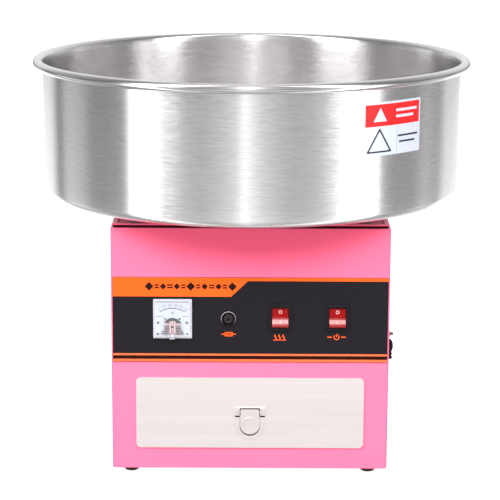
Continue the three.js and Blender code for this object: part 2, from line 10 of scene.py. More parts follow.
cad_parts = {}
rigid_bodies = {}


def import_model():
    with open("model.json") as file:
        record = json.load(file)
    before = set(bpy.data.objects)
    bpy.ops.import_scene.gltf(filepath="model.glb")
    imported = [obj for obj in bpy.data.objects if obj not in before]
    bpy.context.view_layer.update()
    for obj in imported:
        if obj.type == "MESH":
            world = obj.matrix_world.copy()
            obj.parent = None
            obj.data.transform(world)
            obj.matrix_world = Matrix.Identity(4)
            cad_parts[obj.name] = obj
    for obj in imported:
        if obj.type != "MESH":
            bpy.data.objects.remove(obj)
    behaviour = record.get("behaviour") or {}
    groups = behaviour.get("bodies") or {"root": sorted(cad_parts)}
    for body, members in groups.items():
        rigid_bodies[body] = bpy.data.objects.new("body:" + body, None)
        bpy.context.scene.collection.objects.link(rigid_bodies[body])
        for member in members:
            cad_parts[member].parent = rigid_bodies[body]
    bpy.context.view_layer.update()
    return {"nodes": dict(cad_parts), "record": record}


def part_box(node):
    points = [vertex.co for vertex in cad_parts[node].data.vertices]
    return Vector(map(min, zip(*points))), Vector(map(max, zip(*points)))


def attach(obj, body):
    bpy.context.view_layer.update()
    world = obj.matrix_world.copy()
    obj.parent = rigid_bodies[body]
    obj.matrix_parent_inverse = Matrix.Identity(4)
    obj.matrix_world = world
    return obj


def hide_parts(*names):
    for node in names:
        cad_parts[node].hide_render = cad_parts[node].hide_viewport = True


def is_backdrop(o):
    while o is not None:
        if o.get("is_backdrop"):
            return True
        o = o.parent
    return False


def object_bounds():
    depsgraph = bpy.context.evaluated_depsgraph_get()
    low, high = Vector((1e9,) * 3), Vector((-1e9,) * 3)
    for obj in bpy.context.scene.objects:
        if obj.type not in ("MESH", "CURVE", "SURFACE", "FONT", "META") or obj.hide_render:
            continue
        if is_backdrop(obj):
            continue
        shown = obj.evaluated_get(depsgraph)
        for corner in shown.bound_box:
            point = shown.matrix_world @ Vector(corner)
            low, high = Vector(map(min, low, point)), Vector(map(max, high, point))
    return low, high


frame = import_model()

scene = bpy.context.scene
scene.view_settings.view_transform = "Standard"
scene.view_settings.look = "None"
scene.view_settings.exposure = 0.0
scene.view_settings.gamma = 1.0

BODY_OF = {n: b for b, ns in frame["record"]["behaviour"]["bodies"].items() for n in ns}
SLOT_OF = {p["node"]: p["material_slot"] for p in frame["record"]["subparts"]}
MM = 0.001
PI = math.pi


def cad(node):
    """Lowest and highest corner of a CAD node, in millimetres."""
    lo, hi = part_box(node)
    return [c * 1000 for c in lo], [c * 1000 for c in hi]


# ------------------------------------------------------------------ camera
CAM_POS = Vector((-0.00074, -2.36817, 0.75571))
PITCH, ROLL = math.radians(12.4389), math.radians(0.2667)
ahead = Vector((0, math.cos(PITCH), -math.sin(PITCH)))
up0 = Vector((0, math.sin(PITCH), math.cos(PITCH)))
side = math.cos(ROLL) * Vector((1, 0, 0)) + math.sin(ROLL) * up0
upv = -math.sin(ROLL) * Vector((1, 0, 0)) + math.cos(ROLL) * up0
cam_data = bpy.data.cameras.new("camera")
cam_data.sensor_width = 36.0
cam_data.lens = 143.14
cam_data.clip_start, cam_data.clip_end = 0.05, 80.0
cam = bpy.data.objects.new("camera", cam_data)
scene.collection.objects.link(cam)
cam.matrix_world = Matrix((
    (side.x, upv.x, -ahead.x, CAM_POS.x),
    (side.y, upv.y, -ahead.y, CAM_POS.y),
    (side.z, upv.z, -ahead.z, CAM_POS.z),
    (0, 0, 0, 1),
))
scene.camera = cam


# ------------------------------------------------------------------ mesh helpers
def make(name, verts, faces):
    me = bpy.data.meshes.new(name)
    me.from_pydata([(x * MM, y * MM, z * MM) for x, y, z in verts], [], faces)
    bm = bmesh.new()
    bm.from_mesh(me)
    bmesh.ops.remove_doubles(bm, verts=bm.verts, dist=1e-7)
    bmesh.ops.recalc_face_normals(bm, faces=bm.faces)
    bm.to_mesh(me)
    bm.free()
    ob = bpy.data.objects.new(name, me)
    scene.collection.objects.link(ob)
    return ob


def fillet(pts, rad, n=4):
    """Closed polygon with its corners rounded; rad is one radius or one per corner."""
    out, m = [], len(pts)
    for i in range(m):
        r = rad[i] if isinstance(rad, (list, tuple)) else rad
        p, a, b = Vector(pts[i]), Vector(pts[i - 1]), Vector(pts[(i + 1) % m])
        u, v = a - p, b - p
        lu, lv = u.length, v.length
        if r <= 0 or lu < 1e-9 or lv < 1e-9:
            out.append(tuple(p))
            continue
        u, v = u / lu, v / lv
        ang = math.acos(max(-1.0, min(1.0, u.dot(v))))
        if ang > PI - 1e-3 or ang < 1e-3:
            out.append(tuple(p))
            continue
        d = min(r / math.tan(ang / 2), lu * 0.49, lv * 0.49)
        rr = d * math.tan(ang / 2)
        c = p + (u + v).normalized() * (rr / math.sin(ang / 2))
        s, e = p + u * d - c, p + v * d - c
        a0, a1 = math.atan2(s.y, s.x), math.atan2(e.y, e.x)
        da = (a1 - a0 + PI) % (2 * PI) - PI
        for k in range(n + 1):
            t = a0 + da * k / n
            out.append((c.x + rr * math.cos(t), c.y + rr * math.sin(t)))
    return out


def lathe(name, prof, seg=64, at=(0, 0, 0), axis="Z", turn=0.0):
    """Profile of (radius, height) pairs, closed, or open from axis to axis, turned about an axis through at."""
    n = len(prof)
    closed = not (prof[0][0] < 1e-6 and prof[-1][0] < 1e-6)
    verts, rings = [], []
    for r, h in prof:
        if r < 1e-6:
            rings.append([len(verts)] * seg)
            verts.append((0.0, 0.0, h))
        else:
            rings.append(list(range(len(verts), len(verts) + seg)))
            for k in range(seg):
                a = 2 * PI * k / seg + turn
                verts.append((r * math.cos(a), r * math.sin(a), h))
    faces = []
    for i in range(n - 1 + (1 if closed else 0)):
        p, q = rings[i], rings[(i + 1) % n]
        for k in range(seg):
            l = (k + 1) % seg
            loop = []
            for v in (p[k], p[l], q[l], q[k]):
                if v not in loop:
                    loop.append(v)
            if len(loop) > 2:
                faces.append(loop)
    put = {"Z": lambda x, y, h: (x, y, h), "Y": lambda x, y, h: (x, h, y), "X": lambda x, y, h: (h, x, y)}[axis]
    verts = [tuple(c + o for c, o in zip(put(*v), at)) for v in verts]
    return make(name, verts, faces)


def prism(name, outline, axis, a, b):
    """Closed outline pushed from a to b along an axis. The outline is (x, z) for Y, (y, z) for X, (x, y) for Z."""
    put = {"Y": lambda p, t: (p[0], t, p[1]), "X": lambda p, t: (t, p[0], p[1]), "Z": lambda p, t: (p[0], p[1], t)}[axis]
    n = len(outline)
    verts = [put(p, a) for p in outline] + [put(p, b) for p in outline]
    faces = [list(range(n)), list(range(n, 2 * n))[::-1]]
    faces += [[i, (i + 1) % n, n + (i + 1) % n, n + i] for i in range(n)]
    return make(name, verts, faces)


def rect(x0, x1, z0, z1, r=0.0, n=5):
    pts = [(x0, z0), (x1, z0), (x1, z1), (x0, z1)]
    return fillet(pts, r, n) if r > 0 else pts


def box(name, x0, x1, y0, y1, z0, z1):
    return prism(name, rect(x0, x1, y0, y1), "Z", z0, z1)


def circle(cx, cz, r, n=48, a0=0.0):
    return [(cx + r * math.cos(a0 + 2 * PI * k / n), cz + r * math.sin(a0 + 2 * PI * k / n)) for k in range(n)]


def tongue(hw, zc, top, r=1.2, n=24):
    """Flat top, straight sides, half-round bottom."""
    pts = [(hw * math.cos(t), zc + hw * math.sin(t)) for t in [PI + PI * k / n for k in range(n + 1)]]
    pts += fillet([(hw, zc), (hw, top), (-hw, top), (-hw, zc)], [0, r, r, 0], 4)[1:-1]
    return pts


def bake(ob):
    bpy.context.view_layer.update()
    dg = bpy.context.evaluated_depsgraph_get()
    me = bpy.data.meshes.new_from_object(ob.evaluated_get(dg))
    old = ob.data
    ob.modifiers.clear()
    ob.data = me
    bpy.data.meshes.remove(old)
    return ob


def boolean(ob, cutters, op="DIFFERENCE", solver="MANIFOLD"):
    for c in cutters:
        m = ob.modifiers.new("b", "BOOLEAN")
        m.operation = op
        try:
            m.solver = solver
        except TypeError:
            m.solver = "EXACT"
        m.object = c
    bake(ob)
    for c in cutters:
        me = c.data
        bpy.data.objects.remove(c)
        bpy.data.meshes.remove(me)
    return ob


def tidy(ob, dist=2e-6, flat=0.4):
    bm = bmesh.new()
    bm.from_mesh(ob.data)
    bmesh.ops.remove_doubles(bm, verts=bm.verts, dist=dist)
    bmesh.ops.dissolve_limit(bm, angle_limit=math.radians(flat), verts=bm.verts, edges=bm.edges)
    bmesh.ops.recalc_face_normals(bm, faces=bm.faces)
    bm.to_mesh(ob.data)
    bm.free()
    return ob


def bev(ob, w, seg=2, ang=35):
    m = ob.modifiers.new("bevel", "BEVEL")
    m.width = w * MM
    m.segments = seg
    m.limit_method = "ANGLE"
    m.angle_limit = math.radians(ang)
    m.use_clamp_overlap = True
    return bake(ob)


def join(name, obs):
    """Several closed shells in one piece."""
    bm = bmesh.new()
    for o in obs:
        bm.from_mesh(o.data)
    me = bpy.data.meshes.new(name)
    bm.to_mesh(me)
    bm.free()
    for o in obs:
        old = o.data
        bpy.data.objects.remove(o)
        bpy.data.meshes.remove(old)
    ob = bpy.data.objects.new(name, me)
    scene.collection.objects.link(ob)
    return ob


def place(ob, mat, body=None, nodes=(), slot=None, smooth=35, weighted=True):
    """Last step for a piece: shading, material, body and the CAD nodes it stands for."""
    me = ob.data
    me.materials.clear()
    me.materials.append(mat)
    for p in me.polygons:
        p.use_smooth = True
        p.material_index = 0
    me.set_sharp_from_angle(angle=math.radians(smooth))
    if weighted:
        m = ob.modifiers.new("weighted", "WEIGHTED_NORMAL")
        m.keep_sharp = True
        m.weight = 80
    nodes = [nodes] if isinstance(nodes, str) else list(nodes)
    body = body or BODY_OF[nodes[0]]
    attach(ob, body)
    if nodes:
        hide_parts(*nodes)
    slot = slot or (SLOT_OF[nodes[0]] if nodes else None)
    return ob


def refine(node, mat, width=0.35, seg=2):
    """A CAD node's own shape with its edges broken, as a piece that stands for it."""
    me = frame["nodes"][node].data.copy()
    ob = bpy.data.objects.new(node + "_fine", me)
    scene.collection.objects.link(ob)
    tidy(ob, 1e-6, 0.2)
    if width > 0:
        bev(ob, width, seg, 38)
    return place(ob, mat, nodes=node)


# ------------------------------------------------------------------ material helpers
def new_mat(name):
    m = bpy.data.materials.new(name)
    m.use_nodes = True
    nt = m.node_tree
    nt.nodes.clear()
    out = nt.nodes.new("ShaderNodeOutputMaterial")
    b = nt.nodes.new("ShaderNodeBsdfPrincipled")
    nt.links.new(b.outputs["BSDF"], out.inputs["Surface"])
    return m, nt, b


def node(nt, kind, **props):
    n = nt.nodes.new(kind)
    for k, v in props.items():
        setattr(n, k, v)
    return n


def coords(nt, scale):
    tc = node(nt, "ShaderNodeTexCoord")
    mp = node(nt, "ShaderNodeMapping")
    mp.inputs["Scale"].default_value = scale if isinstance(scale, (tuple, list)) else (scale,) * 3
    nt.links.new(tc.outputs["Object"], mp.inputs["Vector"])
    return mp.outputs["Vector"]


def ring_coords(nt, along, across):
    """Coordinates whose fine direction runs across the turning marks: height plus radius."""
    tc = node(nt, "ShaderNodeTexCoord")
    sep = node(nt, "ShaderNodeSeparateXYZ")
    nt.links.new(tc.outputs["Object"], sep.inputs[0])
    flat = node(nt, "ShaderNodeCombineXYZ")
    nt.links.new(sep.outputs["X"], flat.inputs["X"])
    nt.links.new(sep.outputs["Y"], flat.inputs["Y"])
    ln = node(nt, "ShaderNodeVectorMath", operation="LENGTH")
    nt.links.new(flat.outputs[0], ln.inputs[0])
    add = node(nt, "ShaderNodeMath", operation="ADD")
    nt.links.new(ln.outputs["Value"], add.inputs[0])
    nt.links.new(sep.outputs["Z"], add.inputs[1])
    comb = node(nt, "ShaderNodeCombineXYZ")
    nt.links.new(sep.outputs["X"], comb.inputs["X"])
    nt.links.new(sep.outputs["Y"], comb.inputs["Y"])
    nt.links.new(add.outputs[0], comb.inputs["Z"])
    mp = node(nt, "ShaderNodeMapping")
    mp.inputs["Scale"].default_value = (along, along, across)
    nt.links.new(comb.outputs[0], mp.inputs["Vector"])
    return mp.outputs["Vector"]


def noise(nt, vec, scale=1.0, detail=3.0, rough=0.55):
    n = node(nt, "ShaderNodeTexNoise")
    n.inputs["Scale"].default_value = scale
    n.inputs["Detail"].default_value = detail
    n.inputs["Roughness"].default_value = rough
    nt.links.new(vec, n.inputs["Vector"])
    return n.outputs["Fac"]


def span(nt, fac, lo, hi, a=0.3, b=0.7):
    r = node(nt, "ShaderNodeMapRange")
    r.inputs["From Min"].default_value = a
    r.inputs["From Max"].default_value = b
    r.inputs["To Min"].default_value = lo
    r.inputs["To Max"].default_value = hi
    nt.links.new(fac, r.inputs["Value"])
    return r.outputs["Result"]


def tint(nt, fac, stops):
    r = node(nt, "ShaderNodeValToRGB")
    el = r.color_ramp.elements
    while len(el) < len(stops):
        el.new(0.5)
    for e, (p, c) in zip(el, stops):
        e.position = p
        e.color = (*c, 1.0)
    nt.links.new(fac, r.inputs["Fac"])
    return r.outputs["Color"]


def shade(c, k):
    return tuple(max(0.0, min(1.0, x * k)) for x in c)


def bumpy(nt, b, heights):
    """One bump per (fac, strength, distance in mm), one after the other."""
    last = None
    for fac, strength, dist in heights:
        n = node(nt, "ShaderNodeBump")
        n.inputs["Strength"].default_value = strength
        n.inputs["Distance"].default_value = dist * MM
        nt.links.new(fac, n.inputs["Height"])
        if last:
            nt.links.new(last, n.inputs["Normal"])
        last = n.outputs["Normal"]
    nt.links.new(last, b.inputs["Normal"])


def paint(name, base, rough=0.32, coat=0.0, peel=0.25, var=0.03, spec=0.5):
    """Powder coat or paint: faint tone drift, orange peel, uneven gloss."""
    m, nt, b = new_mat(name)
    drift = noise(nt, coords(nt, 9.0), 1.0, 2.0)
    nt.links.new(tint(nt, drift, [(0.3, shade(base, 1 - var)), (0.7, shade(base, 1 + var))]), b.inputs["Base Color"])
    grain = noise(nt, coords(nt, 700.0), 1.0, 2.0)
    nt.links.new(span(nt, grain, rough - 0.04, rough + 0.05), b.inputs["Roughness"])
    bumpy(nt, b, [(grain, peel, 0.02), (noise(nt, coords(nt, 160.0), 1.0, 1.0), peel * 0.6, 0.05)])
    b.inputs["Specular IOR Level"].default_value = spec
    if coat:
        b.inputs["Coat Weight"].default_value = coat
        b.inputs["Coat Roughness"].default_value = 0.12
    return m


def plastic(name, base, rough=0.4, texture=500.0, peel=0.15, var=0.06, spec=0.5):
    m, nt, b = new_mat(name)
    drift = noise(nt, coords(nt, 60.0), 1.0, 3.0)
    nt.links.new(tint(nt, drift, [(0.3, shade(base, 1 - var)), (0.7, shade(base, 1 + var))]), b.inputs["Base Color"])
    grain = noise(nt, coords(nt, texture), 1.0, 2.0)
    nt.links.new(span(nt, grain, max(0.02, rough - 0.05), rough + 0.06), b.inputs["Roughness"])
    bumpy(nt, b, [(grain, peel, 0.02)])
    b.inputs["Specular IOR Level"].default_value = spec
    return m


def metal(name, base, rough=0.3, streak=None, var=0.05, bump=0.12, aniso=0.0, rot=0.0, tangent=None, ring=False, sr=0.06, marks=(14.0, 1500.0), broad_share=0.5):
    """Bare metal. streak is (x, y, z) repeats per metre of the grain; ring turns the grain about Z."""
    m, nt, b = new_mat(name)
    if ring:
        vec = ring_coords(nt, *marks)
        wide = ring_coords(nt, marks[0] * 0.35, marks[1] * 0.11)
    else:
        vec = coords(nt, streak or (300.0, 300.0, 300.0))
        wide = coords(nt, tuple(c * 0.12 for c in (streak or (300.0, 300.0, 300.0))))
    fine, broad = noise(nt, vec, 1.0, 3.0, 0.6), noise(nt, wide, 1.0, 2.0)
    mixed = node(nt, "ShaderNodeMix", data_type="FLOAT")
    mixed.inputs["Factor"].default_value = broad_share
    nt.links.new(fine, mixed.inputs["A"])
    nt.links.new(broad, mixed.inputs["B"])
    fac = mixed.outputs["Result"]
    nt.links.new(tint(nt, fac, [(0.32, shade(base, 1 - var)), (0.68, shade(base, 1 + var))]), b.inputs["Base Color"])
    nt.links.new(span(nt, fac, rough - sr, rough + sr), b.inputs["Roughness"])
    b.inputs["Metallic"].default_value = 1.0
    if aniso:
        b.inputs["Anisotropic"].default_value = aniso
        b.inputs["Anisotropic Rotation"].default_value = rot
        t = node(nt, "ShaderNodeTangent", direction_type="RADIAL", axis=tangent or "Z")
        nt.links.new(t.outputs["Tangent"], b.inputs["Tangent"])
    bumpy(nt, b, [(fine, bump, 0.02)])
    return m


def spangle(name, base, rough=0.42):
    """Zinc-plated sheet with its faint crystal pattern."""
    m, nt, b = new_mat(name)
    v = node(nt, "ShaderNodeTexVoronoi")
    v.inputs["Scale"].default_value = 130.0
    tc = node(nt, "ShaderNodeTexCoord")
    nt.links.new(tc.outputs["Object"], v.inputs["Vector"])
    sep = node(nt, "ShaderNodeSeparateColor")
    nt.links.new(v.outputs["Color"], sep.inputs[0])
    nt.links.new(tint(nt, sep.outputs[0], [(0.0, shade(base, 0.9)), (1.0, shade(base, 1.07))]), b.inputs["Base Color"])
    nt.links.new(span(nt, sep.outputs[1], rough - 0.08, rough + 0.08, 0.0, 1.0), b.inputs["Roughness"])
    b.inputs["Metallic"].default_value = 0.9
    bumpy(nt, b, [(noise(nt, coords(nt, 400.0), 1.0, 3.0), 0.08, 0.02)])
    return m


def glass(name, base, rough=0.06, haze=0.25):
    """Clear moulding that a straight ray passes: see-through with a faint milky skin and moulding ripple."""
    m, nt, b = new_mat(name)
    out = next(n for n in nt.nodes if n.type == "OUTPUT_MATERIAL")
    ripple = noise(nt, coords(nt, 120.0), 1.0, 1.0)
    nt.links.new(tint(nt, ripple, [(0.3, shade(base, 0.96)), (0.7, base)]), b.inputs["Base Color"])
    nt.links.new(span(nt, ripple, rough, rough + 0.05), b.inputs["Roughness"])
    b.inputs["Alpha"].default_value = haze
    bumpy(nt, b, [(ripple, 0.05, 0.02)])
    return m


PINK = (1.0, 0.194, 0.336)
pink = paint("pink powder coat", PINK, 0.36, peel=0.2, var=0.02, spec=0.22)
zinc = spangle("zinc sheet", (0.62, 0.64, 0.66))
bowl_steel = metal("spun brushed steel", (0.80, 0.785, 0.792), 0.23, ring=True, var=0.10, bump=0.018, aniso=0.85, rot=0.25, sr=0.025, marks=(80.0, 1700.0), broad_share=0.15)
bead_steel = metal("rolled steel bead", (0.66, 0.645, 0.652), 0.2, ring=True, var=0.02, bump=0.02, sr=0.02, marks=(30.0, 900.0), broad_share=0.2)
clip_steel = metal("dull clip steel", (0.36, 0.34, 0.35), 0.5, streak=(500.0, 500.0, 500.0), var=0.08, bump=0.1)
plate_steel = metal("brushed steel plate", (0.895, 0.822, 0.815), 0.52, streak=(8.0, 1400.0, 1400.0), var=0.05, bump=0.12, sr=0.06)
bright = metal("plated steel", (0.70, 0.70, 0.71), 0.22, streak=(500.0, 500.0, 500.0), var=0.05, bump=0.05)
turned_steel = metal("turned steel", (0.68, 0.68, 0.70), 0.24, ring=True, var=0.05, bump=0.08)
alu = metal("turned aluminium", (0.74, 0.745, 0.75), 0.34, ring=True, var=0.06, bump=0.2, aniso=0.5, rot=0.0)
brass = metal("brass", (0.78, 0.57, 0.25), 0.28, streak=(600.0, 600.0, 600.0), var=0.07, bump=0.06)
copper = metal("enamelled copper", (0.58, 0.27, 0.12), 0.34, ring=True, var=0.16, bump=0.5)
iron = paint("dark painted iron", (0.075, 0.08, 0.088), 0.5, peel=0.5, var=0.12)
rotor_iron = metal("stacked steel sheet", (0.34, 0.35, 0.36), 0.42, streak=(10.0, 10.0, 2200.0), var=0.2, bump=0.4)
black_film = plastic("black printed film", (0.0084, 0.0090, 0.0118), 0.45, 900.0, 0.1, 0.05, 0.16)
orange_film = plastic("orange print", (1.0, 0.130, 0.013), 0.45, 900.0, 0.06, 0.03, 0.2)
dark_film = plastic("dark print", (0.014, 0.004, 0.003), 0.5, 900.0, 0.05, 0.05, 0.15)
stripe_film = plastic("stripe print", (0.70, 0.165, 0.055), 0.5, 900.0, 0.05, 0.03, 0.2)
black_plastic = plastic("black moulded plastic", (0.016, 0.016, 0.018), 0.3, 350.0, 0.18, 0.1)
bezel_plastic = plastic("switch bezel plastic", (0.0085, 0.0085, 0.0105), 0.45, 450.0, 0.2, 0.1, 0.15)
red_plastic = plastic("red rocker plastic", (0.232, 0.001, 0.0015), 0.13, 200.0, 0.03, 0.06, 0.5)
white_print = plastic("white print", (0.88, 0.88, 0.88), 0.4, 500.0, 0.03, 0.02)
dial_white = plastic("dial plate", (0.462, 0.605, 0.655), 0.5, 400.0, 0.05, 0.015)
dial_ink = plastic("dial ink", (0.012, 0.012, 0.02), 0.5, 500.0, 0.03, 0.05)
dial_faint = plastic("faint dial print", (0.17, 0.17, 0.25), 0.5, 500.0, 0.03, 0.05)
clear = glass("clear cover", (0.86, 0.94, 1.0), 0.04, 0.04)
milky = glass("frosted movement block", (0.52, 0.45, 0.45), 0.3, 0.5)
rubber = plastic("rubber", (0.012, 0.012, 0.012), 0.75, 900.0, 0.4, 0.15)
cream = plastic("cream insulation", (0.72, 0.66, 0.52), 0.5, 300.0, 0.15, 0.05)
carbon = plastic("carbon", (0.022, 0.022, 0.024), 0.55, 1500.0, 0.4, 0.2)
hot_iron = paint("heat-tinted heater sheath", (0.11, 0.085, 0.07), 0.5, peel=0.6, var=0.3)
label_white = plastic("sticker film", (0.53, 0.745, 0.84), 0.3, 300.0, 0.04, 0.01)
label_red = plastic("sticker red", (0.68, 0.024, 0.024), 0.3, 300.0, 0.04, 0.02, 0.25)
label_ink = plastic("sticker ink", (0.012, 0.012, 0.016), 0.35, 300.0, 0.03, 0.05)

# ------------------------------------------------------------------ casing
c_lo, c_hi = cad("casing")
HW, FY, BACK, Z0, Z1 = c_hi[0], c_lo[1], c_hi[1], c_lo[2], c_hi[2]
CASE_BACK = BACK - 1.6
T = 1.2
R_BEND = 2.6
outer = prism("casing_sheet", fillet([(-HW, FY), (HW, FY), (HW, CASE_BACK), (-HW, CASE_BACK)], [R_BEND, R_BEND, 0, 0], 6), "Z", Z0, Z1)
bm = bmesh.new()
bm.from_mesh(outer.data)
rim_edges = [e for e in bm.edges if abs(e.verts[0].co.z - e.verts[1].co.z) < 1e-6 and not all(v.co.y > (CASE_BACK - 1) * MM for v in e.verts)]
bmesh.ops.bevel(bm, geom=rim_edges, offset=0.9 * MM, segments=4, profile=0.5, affect="EDGES")
bm.to_mesh(outer.data)
bm.free()
tidy(outer, 1e-6, 0.05)
cut_list = [
    prism("c0", fillet([(-HW + T, FY + T), (HW - T, FY + T), (HW - T, CASE_BACK - T), (-HW + T, CASE_BACK - T)], [1.4, 1.4, 0.2, 0.2], 4), "Z", Z0 + T, Z1 - T),
    prism("c1", rect(-143, 143, FY + 15, CASE_BACK - 14, 4), "Z", Z1 - 2, Z1 + 1),
    prism("c2", rect(-145, 145, FY + 13, CASE_BACK - 14, 4), "Z", Z0 - 1, Z0 + 2),
    prism("c3", rect(-145, 145, 22, 281, 4), "Y", CASE_BACK - 3, CASE_BACK + 1),
    prism("c4", rect(-125.5, 125.5, 37.8, 113.6, 1.5), "Y", FY - 1, FY + 2),
]
mb_lo, mb_hi = cad("meter_body")
METER_X, METER_Z = (mb_lo[0] + mb_hi[0]) / 2, (mb_lo[2] + mb_hi[2]) / 2
fh_lo, fh_hi = cad("fuse_holder")
FUSE_X, FUSE_Z = (fh_lo[0] + fh_hi[0]) / 2, (fh_lo[2] + fh_hi[2]) / 2
sw = {}
for k in ("heat", "power"):
    lo, hi = cad(f"switch_{k}_body")
    sw[k] = ((lo[0] + hi[0]) / 2, (lo[2] + hi[2]) / 2, lo, hi)
cut_list += [prism("c5", circle(METER_X, METER_Z, 19.5), "Y", FY - 1, FY + 2), prism("c6", circle(FUSE_X, FUSE_Z, 6.6, 32), "Y", FY - 1, FY + 2)]
for k in sw:
    cut_list.append(prism("c7", rect(sw[k][0] - 11, sw[k][0] + 11, sw[k][1] - 14, sw[k][1] + 14, 0.8), "Y", FY - 1, FY + 2))
g_lo, g_hi = cad("cord_gland")
GY = (g_lo[1] + g_hi[1]) / 2
GZ = g_hi[2] - 9.0
s_lo, s_hi = cad("earth_stud")
SY, SZ = (s_lo[1] + s_hi[1]) / 2, (s_lo[2] + s_hi[2]) / 2
cut_list += [prism("c8", circle(GY, GZ, 6.6, 32), "X", HW - 2, HW + 1), prism("c9", circle(SY, SZ, 2.6, 24), "X", HW - 2, HW + 1)]
for i in range(5):
    z = 205 + i * 13
    for s in (-1, 1):
        cut_list.append(prism("cs", rect(55, 125, z, z + 5, 2.4), "X", *((HW - 2, HW + 1) if s > 0 else (-HW - 1, -HW + 2))))
casing = boolean(outer, cut_list)
wings = [box("w0", -HW, -HW + T, CASE_BACK - 0.4, BACK, Z0, Z1), box("w1", HW - T, HW, CASE_BACK - 0.4, BACK, Z0, Z1)]
casing = boolean(casing, wings, "UNION")
tidy(casing, 2e-6, 0.05)
place(casing, pink, nodes="casing", smooth=30)

# rear cover: flat sheet, hooded louvres and pan-head screws
r_lo, r_hi = cad("rear_cover")
rear = prism("rear_cover_sheet", rect(r_lo[0], r_hi[0], r_lo[2], r_hi[2], 1.2), "Y", BACK - 1.3, BACK - 0.1)
hoods, inner = [], []
for cx in (-68, 68):
    for i in range(4):
        zb = 150 + i * 24
        prof = fillet([(BACK - 0.7, zb), (BACK + 4.6, zb), (BACK + 4.4, zb + 2.2), (BACK + 0.2, zb + 13.6), (BACK - 0.7, zb + 14)], [0, 0.4, 2.2, 3.0, 0], 4)
        hood = prism("hood", prof, "X", cx - 48, cx + 48)
        hoods.append(hood)
        prof = fillet([(BACK - 3, zb - 1), (BACK + 3.5, zb - 1), (BACK + 3.3, zb + 1.6), (BACK - 0.9, zb + 11), (BACK - 3, zb + 11)], [0, 0, 1.6, 1.0, 0], 3)
        inner.append(prism("hole", prof, "X", cx - 46.8, cx + 46.8))
rear = boolean(rear, hoods, "UNION")
rear = boolean(rear, inner)
tidy(rear, 2e-6, 0.05)
bev(rear, 0.35, 2, 50)
place(rear, pink, nodes="rear_cover", smooth=32)
heads = []
for sx, sz in ((-152, 15.5), (152, 15.5), (-152, 286.5), (152, 286.5)):
    prof = [(0, BACK - 0.4), (3.7, BACK - 0.4), (3.75, BACK + 0.5), (3.4, BACK + 1.3), (2.6, BACK + 1.8), (1.4, BACK + 2.05), (0, BACK + 2.1)]
    h = lathe("screw", prof, 28, (sx, 0, sz), "Y")
    h = boolean(h, [box("x0", sx - 2.0, sx + 2.0, BACK + 1.0, BACK + 3, sz - 0.45, sz + 0.45), box("x1", sx - 0.45, sx + 0.45, BACK + 1.0, BACK + 3, sz - 2.0, sz + 2.0)])
    heads.append(h)
place(join("rear_screws", heads), bright, body="base", slot="bright_steel", smooth=40)

# base pan, drawer bay, runners, bridge: bent sheet with broken edges
refine("base_pan", zinc, 0.25)
refine("drawer_bay", zinc, 0.3)
for n in ("runner_left", "runner_right"):
    refine(n, bright, 0.3)
refine("motor_bridge", zinc, 0.3)

# ------------------------------------------------------------------ top cover
t_lo, t_hi = cad("top_cover")
tw, ty0, ty1, tz0 = t_hi[0], t_lo[1], t_hi[1], t_lo[2]
tz1 = tz0 + 4.2
COLLAR_TOP = t_hi[2]


def rounded_rect_loop(w, y0, y1, r, n=8):
    return fillet([(-w, y0), (w, y0), (w, y1), (-w, y1)], r, n)


# rings from the outer foot of the border, over it, and down to the flat middle: (inset, height, corner radius)
rings = [(3.4, tz0, 2.8), (3.2, tz0 + 2.5, 2.8), (0.3, tz0 + 2.55, 3.2), (0.0, tz0 + 2.8, 3.5), (0.0, tz1 - 0.6, 3.5), (0.25, tz1 - 0.2, 3.3), (0.8, tz1, 3.0), (4.6, tz1, 2.6), (5.3, tz1 - 0.3, 2.4), (5.8, tz0 + 1.5, 2.2), (6.4, tz0 + 1.22, 2.0)]
verts, faces = [], []
count = None
for inset, z, r in rings:
    pts = rounded_rect_loop(tw - inset, ty0 + inset, ty1 - inset, r)
    count = len(pts)
    verts += [(x, y, z) for x, y in pts]
for i in range(len(rings) - 1):
    for k in range(count):
        l = (k + 1) % count
        faces.append([i * count + k, i * count + l, (i + 1) * count + l, (i + 1) * count + k])
faces.append([(len(rings) - 1) * count + k for k in range(count)])
faces.append([k for k in range(count)][::-1])
top = make("top_cover_sheet", verts, faces)
collar = lathe("collar", [(16, tz0 - 2), (17.2, tz0 - 2), (17.2, COLLAR_TOP - 0.8), (17.0, COLLAR_TOP - 0.2), (16.6, COLLAR_TOP), (16.2, COLLAR_TOP - 0.2), (16, COLLAR_TOP - 0.8)], 64)
flare = lathe("flare", [(16.6, tz0 + 0.5), (20.2, tz0 + 0.5), (20.2, tz0 + 1.21), (18.6, tz0 + 1.6), (17.6, tz0 + 2.6), (17.1, tz0 + 4.2), (16.6, tz0 + 4.2)], 64)
top = boolean(top, [collar, flare], "UNION")
top = boolean(top, [lathe("bore", [(0, tz0 - 5), (16, tz0 - 5), (16, COLLAR_TOP + 5), (0, COLLAR_TOP + 5)], 64), box("under", -200, 200, -200, 200, tz0 - 6, tz0)])
tidy(top, 2e-6, 0.05)
place(top, pink, nodes="top_cover", smooth=32)

# gasket in the seam under the cover's border, made dark red-black as painted shade for the shadow under the border's
# overhang
gask = prism("cover_gasket_seam_shade", rounded_rect_loop(tw - 0.4, ty0 + 0.4, ty1 - 0.4, 3.2), "Z", tz0 + 0.02, tz0 + 2.6)
gask = boolean(gask, [prism("gi", rounded_rect_loop(tw - 3.6, ty0 + 3.6, ty1 - 3.6, 1.5), "Z", tz0 - 1, tz0 + 4)])
place(gask, plastic("dark gasket with painted seam shade", (0.022, 0.003, 0.005), 0.8, 600.0, 0.2, 0.1, 0.1), body="base", slot="rubber", smooth=30)

for n in ("bowl_clip_front_left", "bowl_clip_front_right", "bowl_clip_rear_left", "bowl_clip_rear_right"):
    refine(n, clip_steel, 0.3)

